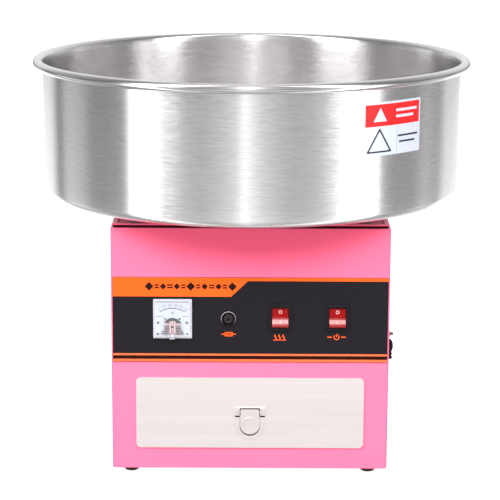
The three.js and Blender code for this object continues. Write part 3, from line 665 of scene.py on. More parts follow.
# ------------------------------------------------------------------ feet
for n in ("foot_front_left", "foot_front_right", "foot_rear_left", "foot_rear_right"):
    lo, hi = cad(n)
    cx, cy, h = (lo[0] + hi[0]) / 2, (lo[1] + hi[1]) / 2, hi[2]
    prof = fillet([(0, 0), (6.4, 0), (8.4, 1.3), (9.4, 4.4), (9.4, h), (0, h)], [0, 0.9, 1.2, 2.0, 0.3, 0], 4)
    ob = lathe(n + "_rubber", prof, 48, (cx, cy, 0))
    ob = boolean(ob, [lathe("dimple", [(0, -1), (2.6, -1), (2.6, 1.1), (2.2, 1.5), (0, 1.5)], 24, (cx, cy, 0))])
    place(ob, rubber, nodes=n, smooth=40)

# ------------------------------------------------------------------ control overlay, printed bands and plain marks
o_lo, o_hi = cad("overlay_panel")
PX0, PX1, PZ0, PZ1 = o_lo[0], o_hi[0], o_lo[2], o_hi[2]
PY, PB = o_lo[1], o_hi[1]
ov = prism("overlay_sheet", rect(PX0, PX1, PZ0, PZ1, 0.8), "Y", PY, FY)
holes = [prism("h0", circle(METER_X, METER_Z, 19.9), "Y", PY - 1, FY + 1), prism("h1", circle(FUSE_X, FUSE_Z, 6.9, 32), "Y", PY - 1, FY + 1)]
for k in sw:
    holes.append(prism("h2", rect(sw[k][0] - 11.4, sw[k][0] + 11.4, sw[k][1] - 14.4, sw[k][1] + 14.4, 0.8), "Y", PY - 1, FY + 1))
ov = boolean(ov, holes)
tidy(ov)
bev(ov, 0.18, 2, 50)
place(ov, black_film, nodes="overlay_panel")
IN, OUT = PY + 0.03, PY - 0.06


def film(name, outline, mat, body="base", nodes=(), slot=None, y0=None, y1=None):
    ob = prism(name, outline, "Y", OUT if y0 is None else y0, IN if y1 is None else y1)
    return place(ob, mat, body=body, nodes=nodes, slot=slot, weighted=False)


e = 0.25
band = film("overlay_band_print", [(PX0 + e, 214.1), (-22.2, 214.1), (-2.9, 232.6), (PX1 - e, 232.6), (PX1 - e, PZ1 - e), (PX0 + e, PZ1 - e)], orange_film, nodes="overlay_band")
st = [prism("s", rect(PX0 + e, PX1 - e, PZ0 + e, 140.15), "Y", OUT, IN), prism("s", rect(PX0 + e, PX1 - e, 144.3, 146.7), "Y", OUT, IN)]
place(join("overlay_stripes_print", st), stripe_film, nodes="overlay_stripes", weighted=False)
brown_film = plastic("brown print", (0.018, 0.003, 0.002), 0.5, 900.0, 0.05, 0.05, 0.1)
film("overlay_line_print", rect(PX0 + e, PX1 - e, 140.3, 144.15), brown_film, slot="overlay_black")


def stroke(points, w):
    """Outline of a polyline of a given width, ends square."""
    left, right = [], []
    n = len(points)
    for i, p in enumerate(points):
        a = Vector(points[max(0, i - 1)])
        b = Vector(points[min(n - 1, i + 1)])
        d = (b - a).normalized()
        nrm = Vector((-d.y, d.x)) * (w / 2)
        left.append(tuple(Vector(p) + nrm))
        right.append(tuple(Vector(p) - nrm))
    return left + right[::-1]


def ring2d(name, cx, cz, r0, r1, y0, y1, n=40):
    """Flat ring standing in the XZ plane."""
    prof = [(r0, y0), (r1, y0), (r1, y1), (r0, y1)]
    return lathe(name, prof, n, (cx, 0, cz), "Y")


MO, MI = OUT - 0.05, OUT + 0.02  # marks on the orange band
# plain ornament on the orange band where the photographed machine carries words: lozenges joined by bars
marks = []
mx0, mx1, mz = -119.3, -17.0, 226.0
xs = [mx0 + 3.6 + i * (mx1 - mx0 - 7.2) / 6 for i in range(7)]
for i, x in enumerate(xs):
    s = 5.2 if i in (0, 3, 6) else 3.8
    marks.append(prism("m", fillet([(x - s, mz), (x, mz - s), (x + s, mz), (x, mz + s)], 0.5, 3), "Y", MO, MI))
for a, b in zip(xs[:-1], xs[1:]):
    sa = 5.2 if abs(a - xs[0]) < 1 or abs(a - xs[3]) < 1 or abs(a - xs[6]) < 1 else 3.8
    sb = 5.2 if abs(b - xs[0]) < 1 or abs(b - xs[3]) < 1 or abs(b - xs[6]) < 1 else 3.8
    for dz in (-2.4, 0.6):
        marks.append(prism("m", rect(a + sa + 0.9, b - sb - 0.9, mz + dz, mz + dz + 1.8, 0.4, 3), "Y", MO, MI))
place(join("band_ornament", marks), dark_film, body="base", slot="overlay_black", weighted=False)

# symbols under the controls: fuse, heat, power
MO2, MI2 = PY - 0.05, PY + 0.02
cxf, czf = FUSE_X + 0.4, 169.9
icon = [prism("i", rect(cxf - 8.2, cxf - 4.4, czf - 0.55, czf + 0.55), "Y", MO2, MI2), prism("i", rect(cxf + 4.4, cxf + 8.2, czf - 0.55, czf + 0.55), "Y", MO2, MI2)]
frame2 = prism("i", rect(cxf - 4.6, cxf + 4.6, czf - 2.5, czf + 2.5, 0.6), "Y", MO2, MI2)
frame2 = boolean(frame2, [prism("j", rect(cxf - 3.4, cxf + 3.4, czf - 1.3, czf + 1.3, 0.3), "Y", MO2 - 1, MI2 + 1)])
icon += [frame2, prism("i", rect(cxf - 3.5, cxf + 3.5, czf - 0.4, czf + 0.4), "Y", MO2, MI2)]
cxh, czh = sw["heat"][0] - 0.7, 166.8
for k in (-1, 0, 1):
    pts = [(cxh + 4.6 * k + 0.95 * math.sin(2 * PI * t / 12), czh - 2.7 + 5.4 * t / 12) for t in range(13)]
    icon.append(prism("i", stroke(pts, 1.15), "Y", MO2, MI2))
icon.append(prism("i", rect(cxh - 7.4, cxh + 7.4, czh - 4.0, czh - 3.2, 0.3), "Y", MO2, MI2))
cxp, czp = sw["power"][0] - 0.8, 167.2
arc = [(cxp + 2.9 * math.cos(math.radians(a)), czp - 0.3 + 2.9 * math.sin(math.radians(a))) for a in range(125, 416, 12)]
icon.append(prism("i", stroke(arc, 0.95), "Y", MO2, MI2))
icon.append(prism("i", rect(cxp - 0.5, cxp + 0.5, czp - 0.2, czp + 3.4, 0.2), "Y", MO2, MI2))
for s in (-1, 1):
    icon.append(prism("i", rect(cxp + s * 8 - 2.6, cxp + s * 8 + 2.6, czp - 0.9, czp + 0.3, 0.4), "Y", MO2, MI2))
place(join("control_symbols", icon), orange_film, body="base", slot="overlay_orange", weighted=False)

# ------------------------------------------------------------------ meter
MX0, MX1, MZ0, MZ1 = mb_lo[0], mb_hi[0], mb_lo[2], mb_hi[2]
MYF = mb_lo[1]  # front of the meter's flange
MYB = MYF + 2.0
body = prism("meter_base", rect(MX0, MX1, MZ0, MZ1, 1.0), "Y", MYF + 0.1, MYB)
body = boolean(body, [lathe("m", [(0, MYB - 0.5), (19, MYB - 0.5), (19, FY + 29.4), (18.4, FY + 30), (0, FY + 30)], 56, (METER_X, 0, METER_Z), "Y")], "UNION")
tidy(body)
bev(body, 0.25, 2, 50)
place(body, plastic("meter base plastic", (0.44, 0.52, 0.56), 0.45, 350.0, 0.1, 0.04), nodes="meter_body", slot="black_plastic")
studs = [lathe("t", fillet([(0, FY + 29.5), (2.5, FY + 29.5), (2.5, FY + 38), (0, FY + 38)], [0, 0, 0.4, 0], 3), 20, (METER_X + s * 9, 0, METER_Z), "Y") for s in (-1, 1)]
place(join("meter_terminals", studs), brass, body="base", slot="brass", smooth=40)
d_lo, d_hi = cad("meter_dial")
dial = prism("meter_dial_plate", rect(d_lo[0], d_hi[0], d_lo[2], d_hi[2], 0.8), "Y", d_lo[1], MYF + 0.15)
bev(dial, 0.12, 2, 50)
place(dial, dial_white, nodes="meter_dial")
DY = d_lo[1]
PIV_X, PIV_Z = METER_X, METER_Z - 14.1
ARC_R = 26.6


ink, faint = [], []
a0, a1 = math.radians(180 - 58.5), math.radians(58.5)
arc_pts = [(PIV_X + ARC_R * math.cos(a0 + (a1 - a0) * k / 40), PIV_Z + ARC_R * math.sin(a0 + (a1 - a0) * k / 40)) for k in range(41)]
ink.append(prism("d", stroke(arc_pts, 0.62), "Y", DY - 0.05, DY + 0.02))
for k in range(26):
    t = a0 + (a1 - a0) * k / 25
    c, s = math.cos(t), math.sin(t)
    long = k % 5 == 0
    r1 = ARC_R + (1.7 if long else 0.95)
    ink.append(prism("d", stroke([(PIV_X + ARC_R * c, PIV_Z + ARC_R * s), (PIV_X + r1 * c, PIV_Z + r1 * s)], 0.5 if long else 0.3), "Y", DY - 0.05, DY + 0.02))


def lettering(text, size, x, z, y0, turn=0.0, bold=0.0):
    """A flat numeral or unit sign standing in the XZ plane, centred on x, z."""
    cu = bpy.data.curves.new("t", "FONT")
    cu.body = text
    cu.size = size
    cu.align_x = "CENTER"
    cu.align_y = "CENTER"
    cu.extrude = 0.035
    cu.offset = bold
    cu.resolution_u = 3
    ob = bpy.data.objects.new("t", cu)
    scene.collection.objects.link(ob)
    bpy.context.view_layer.update()
    me = bpy.data.meshes.new_from_object(ob.evaluated_get(bpy.context.evaluated_depsgraph_get()))
    bpy.data.objects.remove(ob)
    bpy.data.curves.remove(cu)
    m = Matrix.Scale(MM, 4) @ Matrix.Translation((x, y0, z)) @ Matrix.Rotation(turn, 4, "Y") @ Matrix.Rotation(PI / 2, 4, "X")
    me.transform(m)
    bm = bmesh.new()
    bm.from_mesh(me)
    bmesh.ops.remove_doubles(bm, verts=bm.verts, dist=1e-7)
    bmesh.ops.recalc_face_normals(bm, faces=bm.faces)
    bm.to_mesh(me)
    bm.free()
    new = bpy.data.objects.new("t", me)
    scene.collection.objects.link(new)
    return new


for k, word in enumerate(("0", "50", "100", "150", "200", "250")):
    t = a0 + (a1 - a0) * k / 5
    faint.append(lettering(word, 3.1, PIV_X + (ARC_R + 3.5) * math.cos(t), PIV_Z + (ARC_R + 3.5) * math.sin(t), DY - 0.02, PI / 2 - t))
faint.append(lettering("V", 5.6, METER_X, METER_Z + 6.6, DY - 0.02, bold=0.2))
for s in (-1, 1):
    for j in range(3):
        faint.append(prism("d", rect(METER_X + s * 15.2 - 3.4 + j * 2.4, METER_X + s * 15.2 - 1.8 + j * 2.4, METER_Z + 2.6, METER_Z + 3.5), "Y", DY - 0.05, DY + 0.02))
place(join("dial_scale", ink), dial_ink, body="base", slot="carbon", weighted=False)
place(join("dial_numbers", faint), dial_faint, body="base", slot="carbon", weighted=False)

pins = []
for x, z, r in ((-97.1, 188.2, 1.0), (-81.0, 188.4, 1.15)):
    pins.append(lathe("p", [(0, DY - 0.5), (r * 0.6, DY - 0.45), (r, DY - 0.1), (r, DY + 0.05), (0, DY + 0.05)], 20, (x, 0, z), "Y"))
for x, z, r in ((-106.0, 170.6, 1.25), (-72.1, 170.8, 0.95)):
    pins.append(lathe("p", [(0, DY - 0.9), (r * 0.7, DY - 0.85), (r, DY - 0.5), (r, DY + 0.05), (0, DY + 0.05)], 20, (x, 0, z), "Y"))
place(join("dial_pins", pins), carbon, body="base", slot="carbon", smooth=40)
scr = []
for x in (-105.5, -72.8):
    s0 = lathe("p", fillet([(0, DY - 1.2), (1.5, DY - 1.2), (1.5, DY + 0.05), (0, DY + 0.05)], [0, 0.3, 0, 0], 3), 28, (x, 0, 184.2), "Y")
    scr.append(boolean(s0, [prism("q", [(x - 1.6, 184.0 - 0.5), (x + 1.6, 184.0 + 0.2), (x + 1.6, 184.4 + 0.5), (x - 1.6, 184.4 - 0.2)], "Y", DY - 2, DY - 0.8)]))
place(join("dial_screws", scr), plastic("grey dial screws", (0.16, 0.16, 0.19), 0.4, 300.0, 0.05, 0.05), body="base", slot="bright_steel", smooth=40)

# movement: black bracket with wings, and the ribbed semi-clear block below it
y_lo, y_hi = cad("meter_yoke")
YB, YF = DY + 0.05, y_lo[1]
wz = METER_Z - 4.4  # height of the wings
dome = fillet([(METER_X - 9.3, wz), (METER_X + 9.3, wz), (METER_X + 9.3, wz + 1.7), (METER_X + 8.2, wz + 2.5)], [0.3, 0.3, 0.6, 0], 3)
dome += [(METER_X + 7.8 * math.cos(math.radians(a)), wz + 0.6 + 5.2 * math.sin(math.radians(a))) for a in range(25, 156, 10)]
dome += fillet([(METER_X - 8.2, wz + 2.5), (METER_X - 9.3, wz + 1.7), (METER_X - 9.3, wz + 0.9)], [0, 0.6, 0], 3)
yoke = prism("meter_movement", dome, "Y", YF, YB)
bev(yoke, 0.25, 2, 50)
place(yoke, carbon, nodes="meter_yoke")
block = fillet([(METER_X - 9.9, PIV_Z - 2.6), (METER_X + 9.9, PIV_Z - 2.6), (METER_X + 9.4, wz + 0.0), (METER_X + 4.4, wz + 0.0), (METER_X + 2.0, wz + 2.6), (METER_X - 2.0, wz + 2.6), (METER_X - 4.4, wz + 0.0), (METER_X - 9.4, wz + 0.0)], [1.2, 1.2, 1.0, 1, 1, 1, 1, 1.0], 4)
blk = prism("movement_block", block, "Y", YF - 0.9, YF + 0.0)
place(blk, milky, body="base", slot="clear_plastic", smooth=40)
cols = []
for x in (-2.7, 0.0, 2.7):
    cols.append(prism("r", rect(METER_X + x - 0.5, METER_X + x + 0.5, PIV_Z - 2.2, wz + 2.4, 0.2, 2), "Y", YF - 1.35, YF - 0.6))
place(join("movement_columns", cols), plastic("pale ribs", (0.60, 0.53, 0.52), 0.3, 300.0, 0.05, 0.06), body="base", slot="clear_plastic", smooth=40)
ribs = []
for i in range(5):
    z = PIV_Z - 2.6 + i * 2.05
    wide = (13.2, 12.2, 9.8, 9.4, 9.2)[i]
    for s in (-1, 1):
        xa, xb = METER_X + s * 3.7, METER_X + s * wide
        ribs.append(prism("r", rect(min(xa, xb), max(xa, xb), z, z + 0.85, 0.2, 2), "Y", YF - 1.5, YF - 0.6))
place(join("movement_ribs", ribs), plastic("smoky ribs", (0.045, 0.037, 0.04), 0.35, 300.0, 0.05, 0.06, 0.3), body="base", slot="clear_plastic", smooth=40)
core = lathe("movement_core", fillet([(0, YF - 1.9), (1.4, YF - 1.9), (1.4, YF - 0.8), (0, YF - 0.8)], [0, 0.3, 0, 0], 3), 24, (METER_X - 0.2, 0, METER_Z - 8.6), "Y")
place(core, carbon, body="base", slot="carbon", smooth=40)

# clear cover: bevelled box, open at the back
w_lo, w_hi = cad("meter_window")
WF, WB = w_lo[1], w_hi[1]
levels = [(WB, 0.0, 0.9), (WF + 2.2, 0.01, 0.9), (WF + 0.35, 1.7, 1.0), (WF, 2.2, 1.0)]
verts, faces = [], []
for y, inset, r in levels:
    low = MZ0 + inset + (1.0 if inset else 0.0)
    pts = fillet([(MX0 + inset, low), (MX1 - inset, low), (MX1 - inset, MZ1 - inset * 1.45), (MX0 + inset, MZ1 - inset * 1.45)], r, 4)
    verts += [(x, y, z) for x, z in pts]
cnt = len(verts) // len(levels)
for i in range(len(levels) - 1):
    for k in range(cnt):
        l = (k + 1) % cnt
        faces.append([i * cnt + k, i * cnt + l, (i + 1) * cnt + l, (i + 1) * cnt + k])
faces.append([(len(levels) - 1) * cnt + k for k in range(cnt)])
faces.append([k for k in range(cnt)][::-1])
win = make("meter_cover", verts, faces)
inside = [(WB + 1, 1.4, 0.5), (WF + 2.4, 1.41, 0.5), (WF + 1.5, 2.6, 0.5)]
verts, faces = [], []
for y, inset, r in inside:
    low = MZ0 + inset + (1.0 if inset > 1.4 else 0.0)
    pts = fillet([(MX0 + inset, low), (MX1 - inset, low), (MX1 - inset, MZ1 - inset * 1.3), (MX0 + inset, MZ1 - inset * 1.3)], r, 3)
    verts += [(x, y, z) for x, z in pts]
cnt = len(verts) // len(inside)
for i in range(len(inside) - 1):
    for k in range(cnt):
        l = (k + 1) % cnt
        faces.append([i * cnt + k, i * cnt + l, (i + 1) * cnt + l, (i + 1) * cnt + k])
faces.append([(len(inside) - 1) * cnt + k for k in range(cnt)])
faces.append([k for k in range(cnt)][::-1])
ZS_Z = METER_Z - 18.7
win = boolean(win, [make("in", verts, faces), lathe("z", [(0, WF - 2), (2.3, WF - 2), (2.3, WF + 3), (0, WF + 3)], 28, (METER_X, 0, ZS_Z), "Y")])
tab = prism("meter_tab", rect(METER_X - 3.3, METER_X + 2.7, MZ0 - 0.4, MZ0 + 1.0, 0.3, 2), "Y", MYF - 3.4, MYF - 0.6)
place(bev(tab, 0.15, 2, 50), dial_white, body="base", slot="meter_white")
# painted shade and reflection: a thin dark pinkish strip on the clear cover's face, just below its top edge
line = prism("cover_edge", rect(MX0 + 2.8, MX1 - 2.8, MZ1 - 1.95, MZ1 - 1.15), "Y", w_lo[1] - 0.03, w_lo[1] + 0.03)
place(line, plastic("cover edge painted shade", (0.13, 0.065, 0.11), 0.4, 300.0, 0.03, 0.05), body="base", slot="clear_plastic", weighted=False)
tidy(win)
place(win, clear, nodes="meter_window", smooth=28)

# needle and its hub, zero screw
n_lo, n_hi = cad("meter_needle")
NY = (n_lo[1] + n_hi[1]) / 2
tilt = math.radians(31.5)
pts = [(-0.75, -3.2), (0.75, -3.2), (0.42, 2), (0.16, 24), (-0.16, 24), (-0.42, 2)]
turned_pts = [(PIV_X + x * math.cos(tilt) - z * math.sin(tilt), PIV_Z + x * math.sin(tilt) + z * math.cos(tilt)) for x, z in pts]
needle = prism("needle_pointer", turned_pts, "Y", NY - 0.22, NY + 0.22)
hub = lathe("hub", fillet([(0, NY - 0.55), (1.9, NY - 0.35), (1.9, NY + 0.5), (0, NY + 0.5)], [0, 0.3, 0.15, 0], 3), 28, (PIV_X, 0, PIV_Z), "Y")
place(join("meter_pointer", [needle, hub]), plastic("pointer grey", (0.30, 0.22, 0.25), 0.4, 300.0, 0.03, 0.05), nodes="meter_needle", smooth=40)
z_lo, z_hi = cad("meter_zero_screw")
zc = lathe("zero_screw_head", fillet([(0, z_lo[1]), (1.9, z_lo[1]), (1.9, z_hi[1]), (0, z_hi[1])], [0, 0.35, 0.1, 0], 4), 32, (METER_X, 0, ZS_Z), "Y")
zc = boolean(zc, [prism("s", rect(METER_X - 1.6, METER_X + 1.6, ZS_Z - 0.3, ZS_Z + 0.3), "Y", z_lo[1] - 1, z_lo[1] + 0.5)])
place(zc, plastic("zero screw plastic", (0.62, 0.62, 0.68), 0.35, 300.0, 0.05, 0.03), nodes="meter_zero_screw", smooth=40)

# ------------------------------------------------------------------ fuse holder and cap
fy0 = fh_lo[1]
prof = fillet([(7.7, FY + 0.2), (7.9, fy0 + 0.25), (8.15, fy0), (8.9, fy0 + 0.9), (8.9, fy0 + 1.95), (6.2, fy0 + 1.95), (6.2, FY + 38), (4.5, FY + 38), (4.5, FY + 0.4), (5.6, FY + 0.4)], [0.2, 0.1, 0.2, 0.2, 0.1, 0, 0.3, 0.3, 0, 0], 5)
ob = lathe("fuse_holder_body", prof, 72, (FUSE_X, 0, FUSE_Z), "Y")
place(ob, plastic("fuse ring plastic", (0.005, 0.005, 0.006), 0.3, 350.0, 0.05, 0.1, 0.12), nodes="fuse_holder", smooth=30)
# lip: a light grey ring on the black holder's rim, a painted highlight
lip = lathe("fuse_lip", fillet([(7.85, fy0 + 0.05), (8.0, fy0 - 0.15), (8.6, fy0 + 0.5), (8.5, fy0 + 0.9)], [0.1, 0.15, 0.1, 0], 3), 72, (FUSE_X, 0, FUSE_Z), "Y")
lip_film = plastic("fuse lip painted highlight and shade", (0.30, 0.30, 0.32), 0.3, 350.0, 0.05, 0.08)
# painted highlight and shade: the lip's light grey stands in for the bright arc on the holder's rim over the top, and
# it fades to near black towards the bottom, where the rim faces away from the light
lip_nt = lip_film.node_tree
lip_bsdf = next(n for n in lip_nt.nodes if n.type == "BSDF_PRINCIPLED")
lip_at = node(lip_nt, "ShaderNodeNewGeometry")
lip_xyz = node(lip_nt, "ShaderNodeSeparateXYZ")
lip_nt.links.new(lip_at.outputs["Position"], lip_xyz.inputs[0])
# painted shade: darkened by height, from near black low on the lip to its own grey near the top
lip_painted_shade = node(lip_nt, "ShaderNodeMapRange")
lip_painted_shade.inputs["From Min"].default_value = (FUSE_Z - 6.0) * MM
lip_painted_shade.inputs["From Max"].default_value = (FUSE_Z - 1.0) * MM
lip_nt.links.new(lip_xyz.outputs["Z"], lip_painted_shade.inputs["Value"])
lip_two = node(lip_nt, "ShaderNodeMix", data_type="RGBA")
lip_nt.links.new(lip_painted_shade.outputs["Result"], lip_two.inputs["Factor"])
lip_two.inputs[6].default_value = (0.004, 0.004, 0.005, 1)
lip_nt.links.new(lip_bsdf.inputs["Base Color"].links[0].from_socket, lip_two.inputs[7])
lip_nt.links.new(lip_two.outputs[2], lip_bsdf.inputs["Base Color"])
place(lip, lip_film, body="base", slot="black_plastic", smooth=40)
cy0 = cad("fuse_cap")[0][1]
prof = fillet([(0, cy0 + 0.9), (3.1, cy0 + 0.7), (4.1, cy0), (5.1, cy0 + 0.3), (5.1, FY), (4.0, FY), (4.0, FY + 8), (3.0, FY + 8), (3.0, FY + 1), (0, FY + 1)], [0, 0.6, 0.4, 0.5, 0.1, 0, 0.2, 0.2, 0, 0], 4)
ob = lathe("fuse_cap_body", prof, 64, (FUSE_X, 0, FUSE_Z), "Y")
ob = boolean(ob, [prism("s", rect(FUSE_X - 2.6, FUSE_X + 2.6, FUSE_Z - 0.55, FUSE_Z + 0.55, 0.2, 2), "Y", cy0 - 1, cy0 + 2.0), lathe("o", [(0, cy0 - 1), (1.9, cy0 - 1), (1.9, cy0 + 3.4), (0, cy0 + 3.4)], 24, (FUSE_X, 0, FUSE_Z - 1.2), "Y")])
place(ob, plastic("fuse cap plastic", (0.022, 0.020, 0.023), 0.5, 400.0, 0.15, 0.1, 0.2), nodes="fuse_cap", smooth=30)
k_lo, k_hi = cad("fuse_cartridge")
ends = [lathe("e", fillet([(0, k_lo[1]), (2.6, k_lo[1]), (2.6, k_lo[1] + 6), (0, k_lo[1] + 6)], [0, 0.5, 0.3, 0], 4), 32, (FUSE_X, 0, FUSE_Z), "Y"), lathe("e", fillet([(0, k_hi[1] - 6), (2.6, k_hi[1] - 6), (2.6, k_hi[1]), (0, k_hi[1])], [0, 0.3, 0.5, 0], 4), 32, (FUSE_X, 0, FUSE_Z), "Y")]
place(join("fuse_caps_metal", ends), brass, nodes="fuse_cartridge", smooth=40)
tube = lathe("fuse_tube", fillet([(0, k_lo[1] + 5.9), (2.35, k_lo[1] + 5.9), (2.35, k_hi[1] - 5.9), (0, k_hi[1] - 5.9)], [0, 0.1, 0.1, 0], 2), 32, (FUSE_X, 0, FUSE_Z), "Y")
place(tube, cream, body="fuse_carrier", slot="cream_plastic", smooth=40)

# ------------------------------------------------------------------ rocker switches
for k in ("heat", "power"):
    cx, cz, lo, hi = sw[k]
    bx0, bx1, bz0, bz1 = lo[0], hi[0], lo[2], hi[2]
    yf = lo[1]
    bez = prism(f"switch_{k}_bezel", rect(bx0, bx1, bz0, bz1, 1.5), "Y", yf, yf + 2.2)
    bev(bez, 0.8, 4, 50)
    shell = prism("sh", rect(cx - 10.6, cx + 10.6, cz - 13.4, cz + 13.4, 0.6), "Y", yf + 1.9, FY + 20)
    bez = boolean(bez, [shell], "UNION")
    bez = boolean(bez, [prism("ro", rect(cx - 10.0, cx + 10.0, cz - 12.1, cz + 12.1, 0.5), "Y", yf - 2, FY + 9)])
    tidy(bez)
    place(bez, bezel_plastic, nodes=f"switch_{k}_body", smooth=30)
    tabs = []
    for tx in (-5, 5):
        for tz in (-8, 8):
            t = box("tab", cx + tx - 0.4, cx + tx + 0.4, FY + 19.5, FY + 29, cz + tz - 3.1, cz + tz + 3.1)
            tabs.append(bev(t, 0.2, 2, 50))
    place(join(f"switch_{k}_tabs", tabs), brass, body="base", slot="brass", smooth=40)
    # rocker: two faces that meet in a shallow valley, the lower one swelling towards its end, ends rounded over
    r_lo, r_hi = cad(f"switch_{k}_rocker")
    upper, lower = [(-1.0, 0.0)], [(-1.0, 0.0)]
    for i in range(1, 23):
        zz = 0.5 * i
        lean = math.radians(5.0)
        upper.append((upper[-1][0] - 0.5 * math.tan(lean), zz))
        zm = zz - 0.25
        lean = 2.0 + 3.0 * zm if zm < 2.2 else (24.0 - 5.0 * (zm - 2.2) / 4.0 if zm < 6.2 else (19.0 - 8.0 * (zm - 6.2) / 2.8 if zm < 9.0 else 11.0 - 66.0 * (zm - 9.0) / 2.0))
        lower.append((lower[-1][0] - 0.5 * math.tan(math.radians(lean)), -zz))
    prof = upper[::-1] + lower[1:]
    outline = [(1.0, 11.2), (prof[0][0] + 0.3, 11.2)] + prof + [(prof[-1][0] + 0.6, -11.25), (1.0, -11.2), (5.2, -8), (5.2, 8)]
    radii = [0, 0.7] + [0.0] * len(prof) + [0.9, 0, 0.4, 0.4]
    t = -math.radians(10)
    cz -= 0.5
    spun = [(FY - 1 + y * math.cos(t) - z * math.sin(t), cz + y * math.sin(t) + z * math.cos(t)) for y, z in fillet(outline, radii, 4)]
    rk = prism(f"switch_{k}_key", spun, "X", r_lo[0] + 0.3, r_hi[0] - 0.3)
    bev(rk, 0.55, 4, 55)
    place(rk, red_plastic, nodes=f"switch_{k}_rocker", smooth=26)

    def on_rocker(z, lift):
        """Point of the rocker's face at height z of its own frame, and how the face leans there."""
        side_pts = upper if z > 0 else lower
        i = min(21, int(abs(z) / 0.5))
        f = abs(z) / 0.5 - i
        y = side_pts[i][0] * (1 - f) + side_pts[i + 1][0] * f - lift
        return (FY - 1 + y * math.cos(t) - z * math.sin(t), cz + y * math.sin(t) + z * math.cos(t))

    signs = []
    # ring near the upper end, bar on the lower face; both follow the face
    zr, r0, r1 = 6.7, 1.5, 1.95
    verts, faces = [], []
    nseg = 36
    for lay, lift in ((0, 0.06), (1, -0.3)):
        for r in (r0, r1):
            for j in range(nseg):
                a = 2 * PI * j / nseg
                y, z = on_rocker(zr + r * math.sin(a), lift)
                verts.append((cx + r * math.cos(a), y, z))
    for j in range(nseg):
        l = (j + 1) % nseg
        A, B, C, D = 0, nseg, 2 * nseg, 3 * nseg
        faces += [[A + j, A + l, B + l, B + j], [C + j, D + j, D + l, C + l], [A + j, C + j, C + l, A + l], [B + j, B + l, D + l, D + j]]
    signs.append(make("o", verts, faces))
    verts, faces = [], []
    zs = [-3.6 - 3.4 * j / 6 for j in range(7)]
    for z in zs:
        for x in (-0.2, 0.2):
            for lift in (0.06, -0.3):
                y, zz = on_rocker(z, lift)
                verts.append((cx + x, y, zz))
    for j in range(6):
        p, q = 4 * j, 4 * j + 4
        faces += [[p, q, q + 2, p + 2], [p + 1, p + 3, q + 3, q + 1], [p, p + 1, q + 1, q], [p + 2, q + 2, q + 3, p + 3]]
    faces += [[0, 2, 3, 1], [24, 25, 27, 26]]
    signs.append(make("i", verts, faces))
    place(join(f"switch_{k}_signs", signs), white_print, body=f"{k}_rocker", slot="meter_white", weighted=False, smooth=40)

# ------------------------------------------------------------------ drawer
refine("drawer_tray", zinc, 0.3)
df_lo, df_hi = cad("drawer_front")
DX0, DX1, DZ0, DZ1, DYF, DYB = df_lo[0], df_hi[0], df_lo[2], df_hi[2], df_lo[1], df_hi[1]
CUT_ZC, PULL_ZC = 60.5, 61.55
plate = prism("drawer_plate", rect(DX0, DX1, DZ0, DZ1, 5.6, 8), "Y", DYF, DYB)
plate = boolean(plate, [prism("c", tongue(13.0, CUT_ZC, 82.6, 1.5), "Y", DYF - 2, DYB + 2)])
plate = boolean(plate, [prism("slot", rect(min(s * 13.6, s * 16.9), max(s * 13.6, s * 16.9), 71.5, 73.4), "Y", DYF - 2, DYB + 2) for s in (-1, 1)])
tidy(plate)
bev(plate, 0.35, 3, 50)
place(plate, plate_steel, nodes="drawer_front")

p_lo, p_hi = cad("pull_base")
PF = DYF - 1.5  # front of the pull's flange
cup = prism("pull_plate", tongue(17.65, PULL_ZC, 83.0, 1.5, 40), "Y", PF, DYF - 0.05)
bev(cup, 0.35, 3, 50)
wall = prism("wall", tongue(12.5, CUT_ZC, 82.3, 1.2, 32), "Y", PF + 0.6, FY + 10)
cup = boolean(cup, [wall], "UNION")
cup = boolean(cup, [prism("in", tongue(11.7, CUT_ZC, 82.0, 1.0, 32), "Y", PF - 2, FY + 9)])
# painted shade: dark pieces in the finger cup round the flap's bottom, along its top and sides, and in the slots under
# the ears stand in for the shade in these gaps
dark_gap = plastic("gap shadow", (0.02, 0.014, 0.013), 0.8, 400.0, 0.1, 0.1, 0.1)
cup_shadow = prism("pull_cup_shadow", tongue(11.75, CUT_ZC, 82.05, 1.0, 32), "Y", PF + 0.5, FY + 8.9)
cup_shadow = boolean(cup_shadow, [prism("li", tongue(11.4, CUT_ZC, 81.7, 0.8, 32), "Y", PF - 2, FY + 12)])
cup_shadows = [boolean(cup_shadow, [box("cut", -20, 20, PF - 3, FY + 12, CUT_ZC - 2.0, 100)]), prism("top_line", rect(-11.6, 11.6, 81.2, 81.95), "Y", PF + 0.5, PF + 1.1)]
for s in (-1, 1):
    cup_shadows.append(box("side", min(s * 11.0, s * 11.72), max(s * 11.0, s * 11.72), PF + 0.5, PF + 1.1, 73.5, 81.2))
cup_shadow = join("pull_cup_shadow", cup_shadows)
place(cup_shadow, dark_gap, body=BODY_OF["pull_base"], slot="black_plastic", weighted=False)
fills = [box("sf", min(s * 11.75, s * 17.3), max(s * 11.75, s * 17.3), PF + 0.7, DYF - 0.1, 71.25, 73.5) for s in (-1, 1)]
place(join("pull_slot_shadow", fills), dark_gap, body=BODY_OF["pull_base"], slot="black_plastic", weighted=False)
ears = []
for s in (-1, 1):
    a, b = sorted((s * 11.7, s * 17.65))
    ear = prism("ear", fillet([(p_lo[1] + 0.6, 82.9), (PF + 0.9, 82.9), (PF + 0.9, 73.4), (p_lo[1] + 0.6, 73.4)], [0.5, 0, 0, 0.3], 4), "X", a, b)
    ears.append(bev(ear, 0.25, 2, 50))
cup = boolean(cup, ears, "UNION")
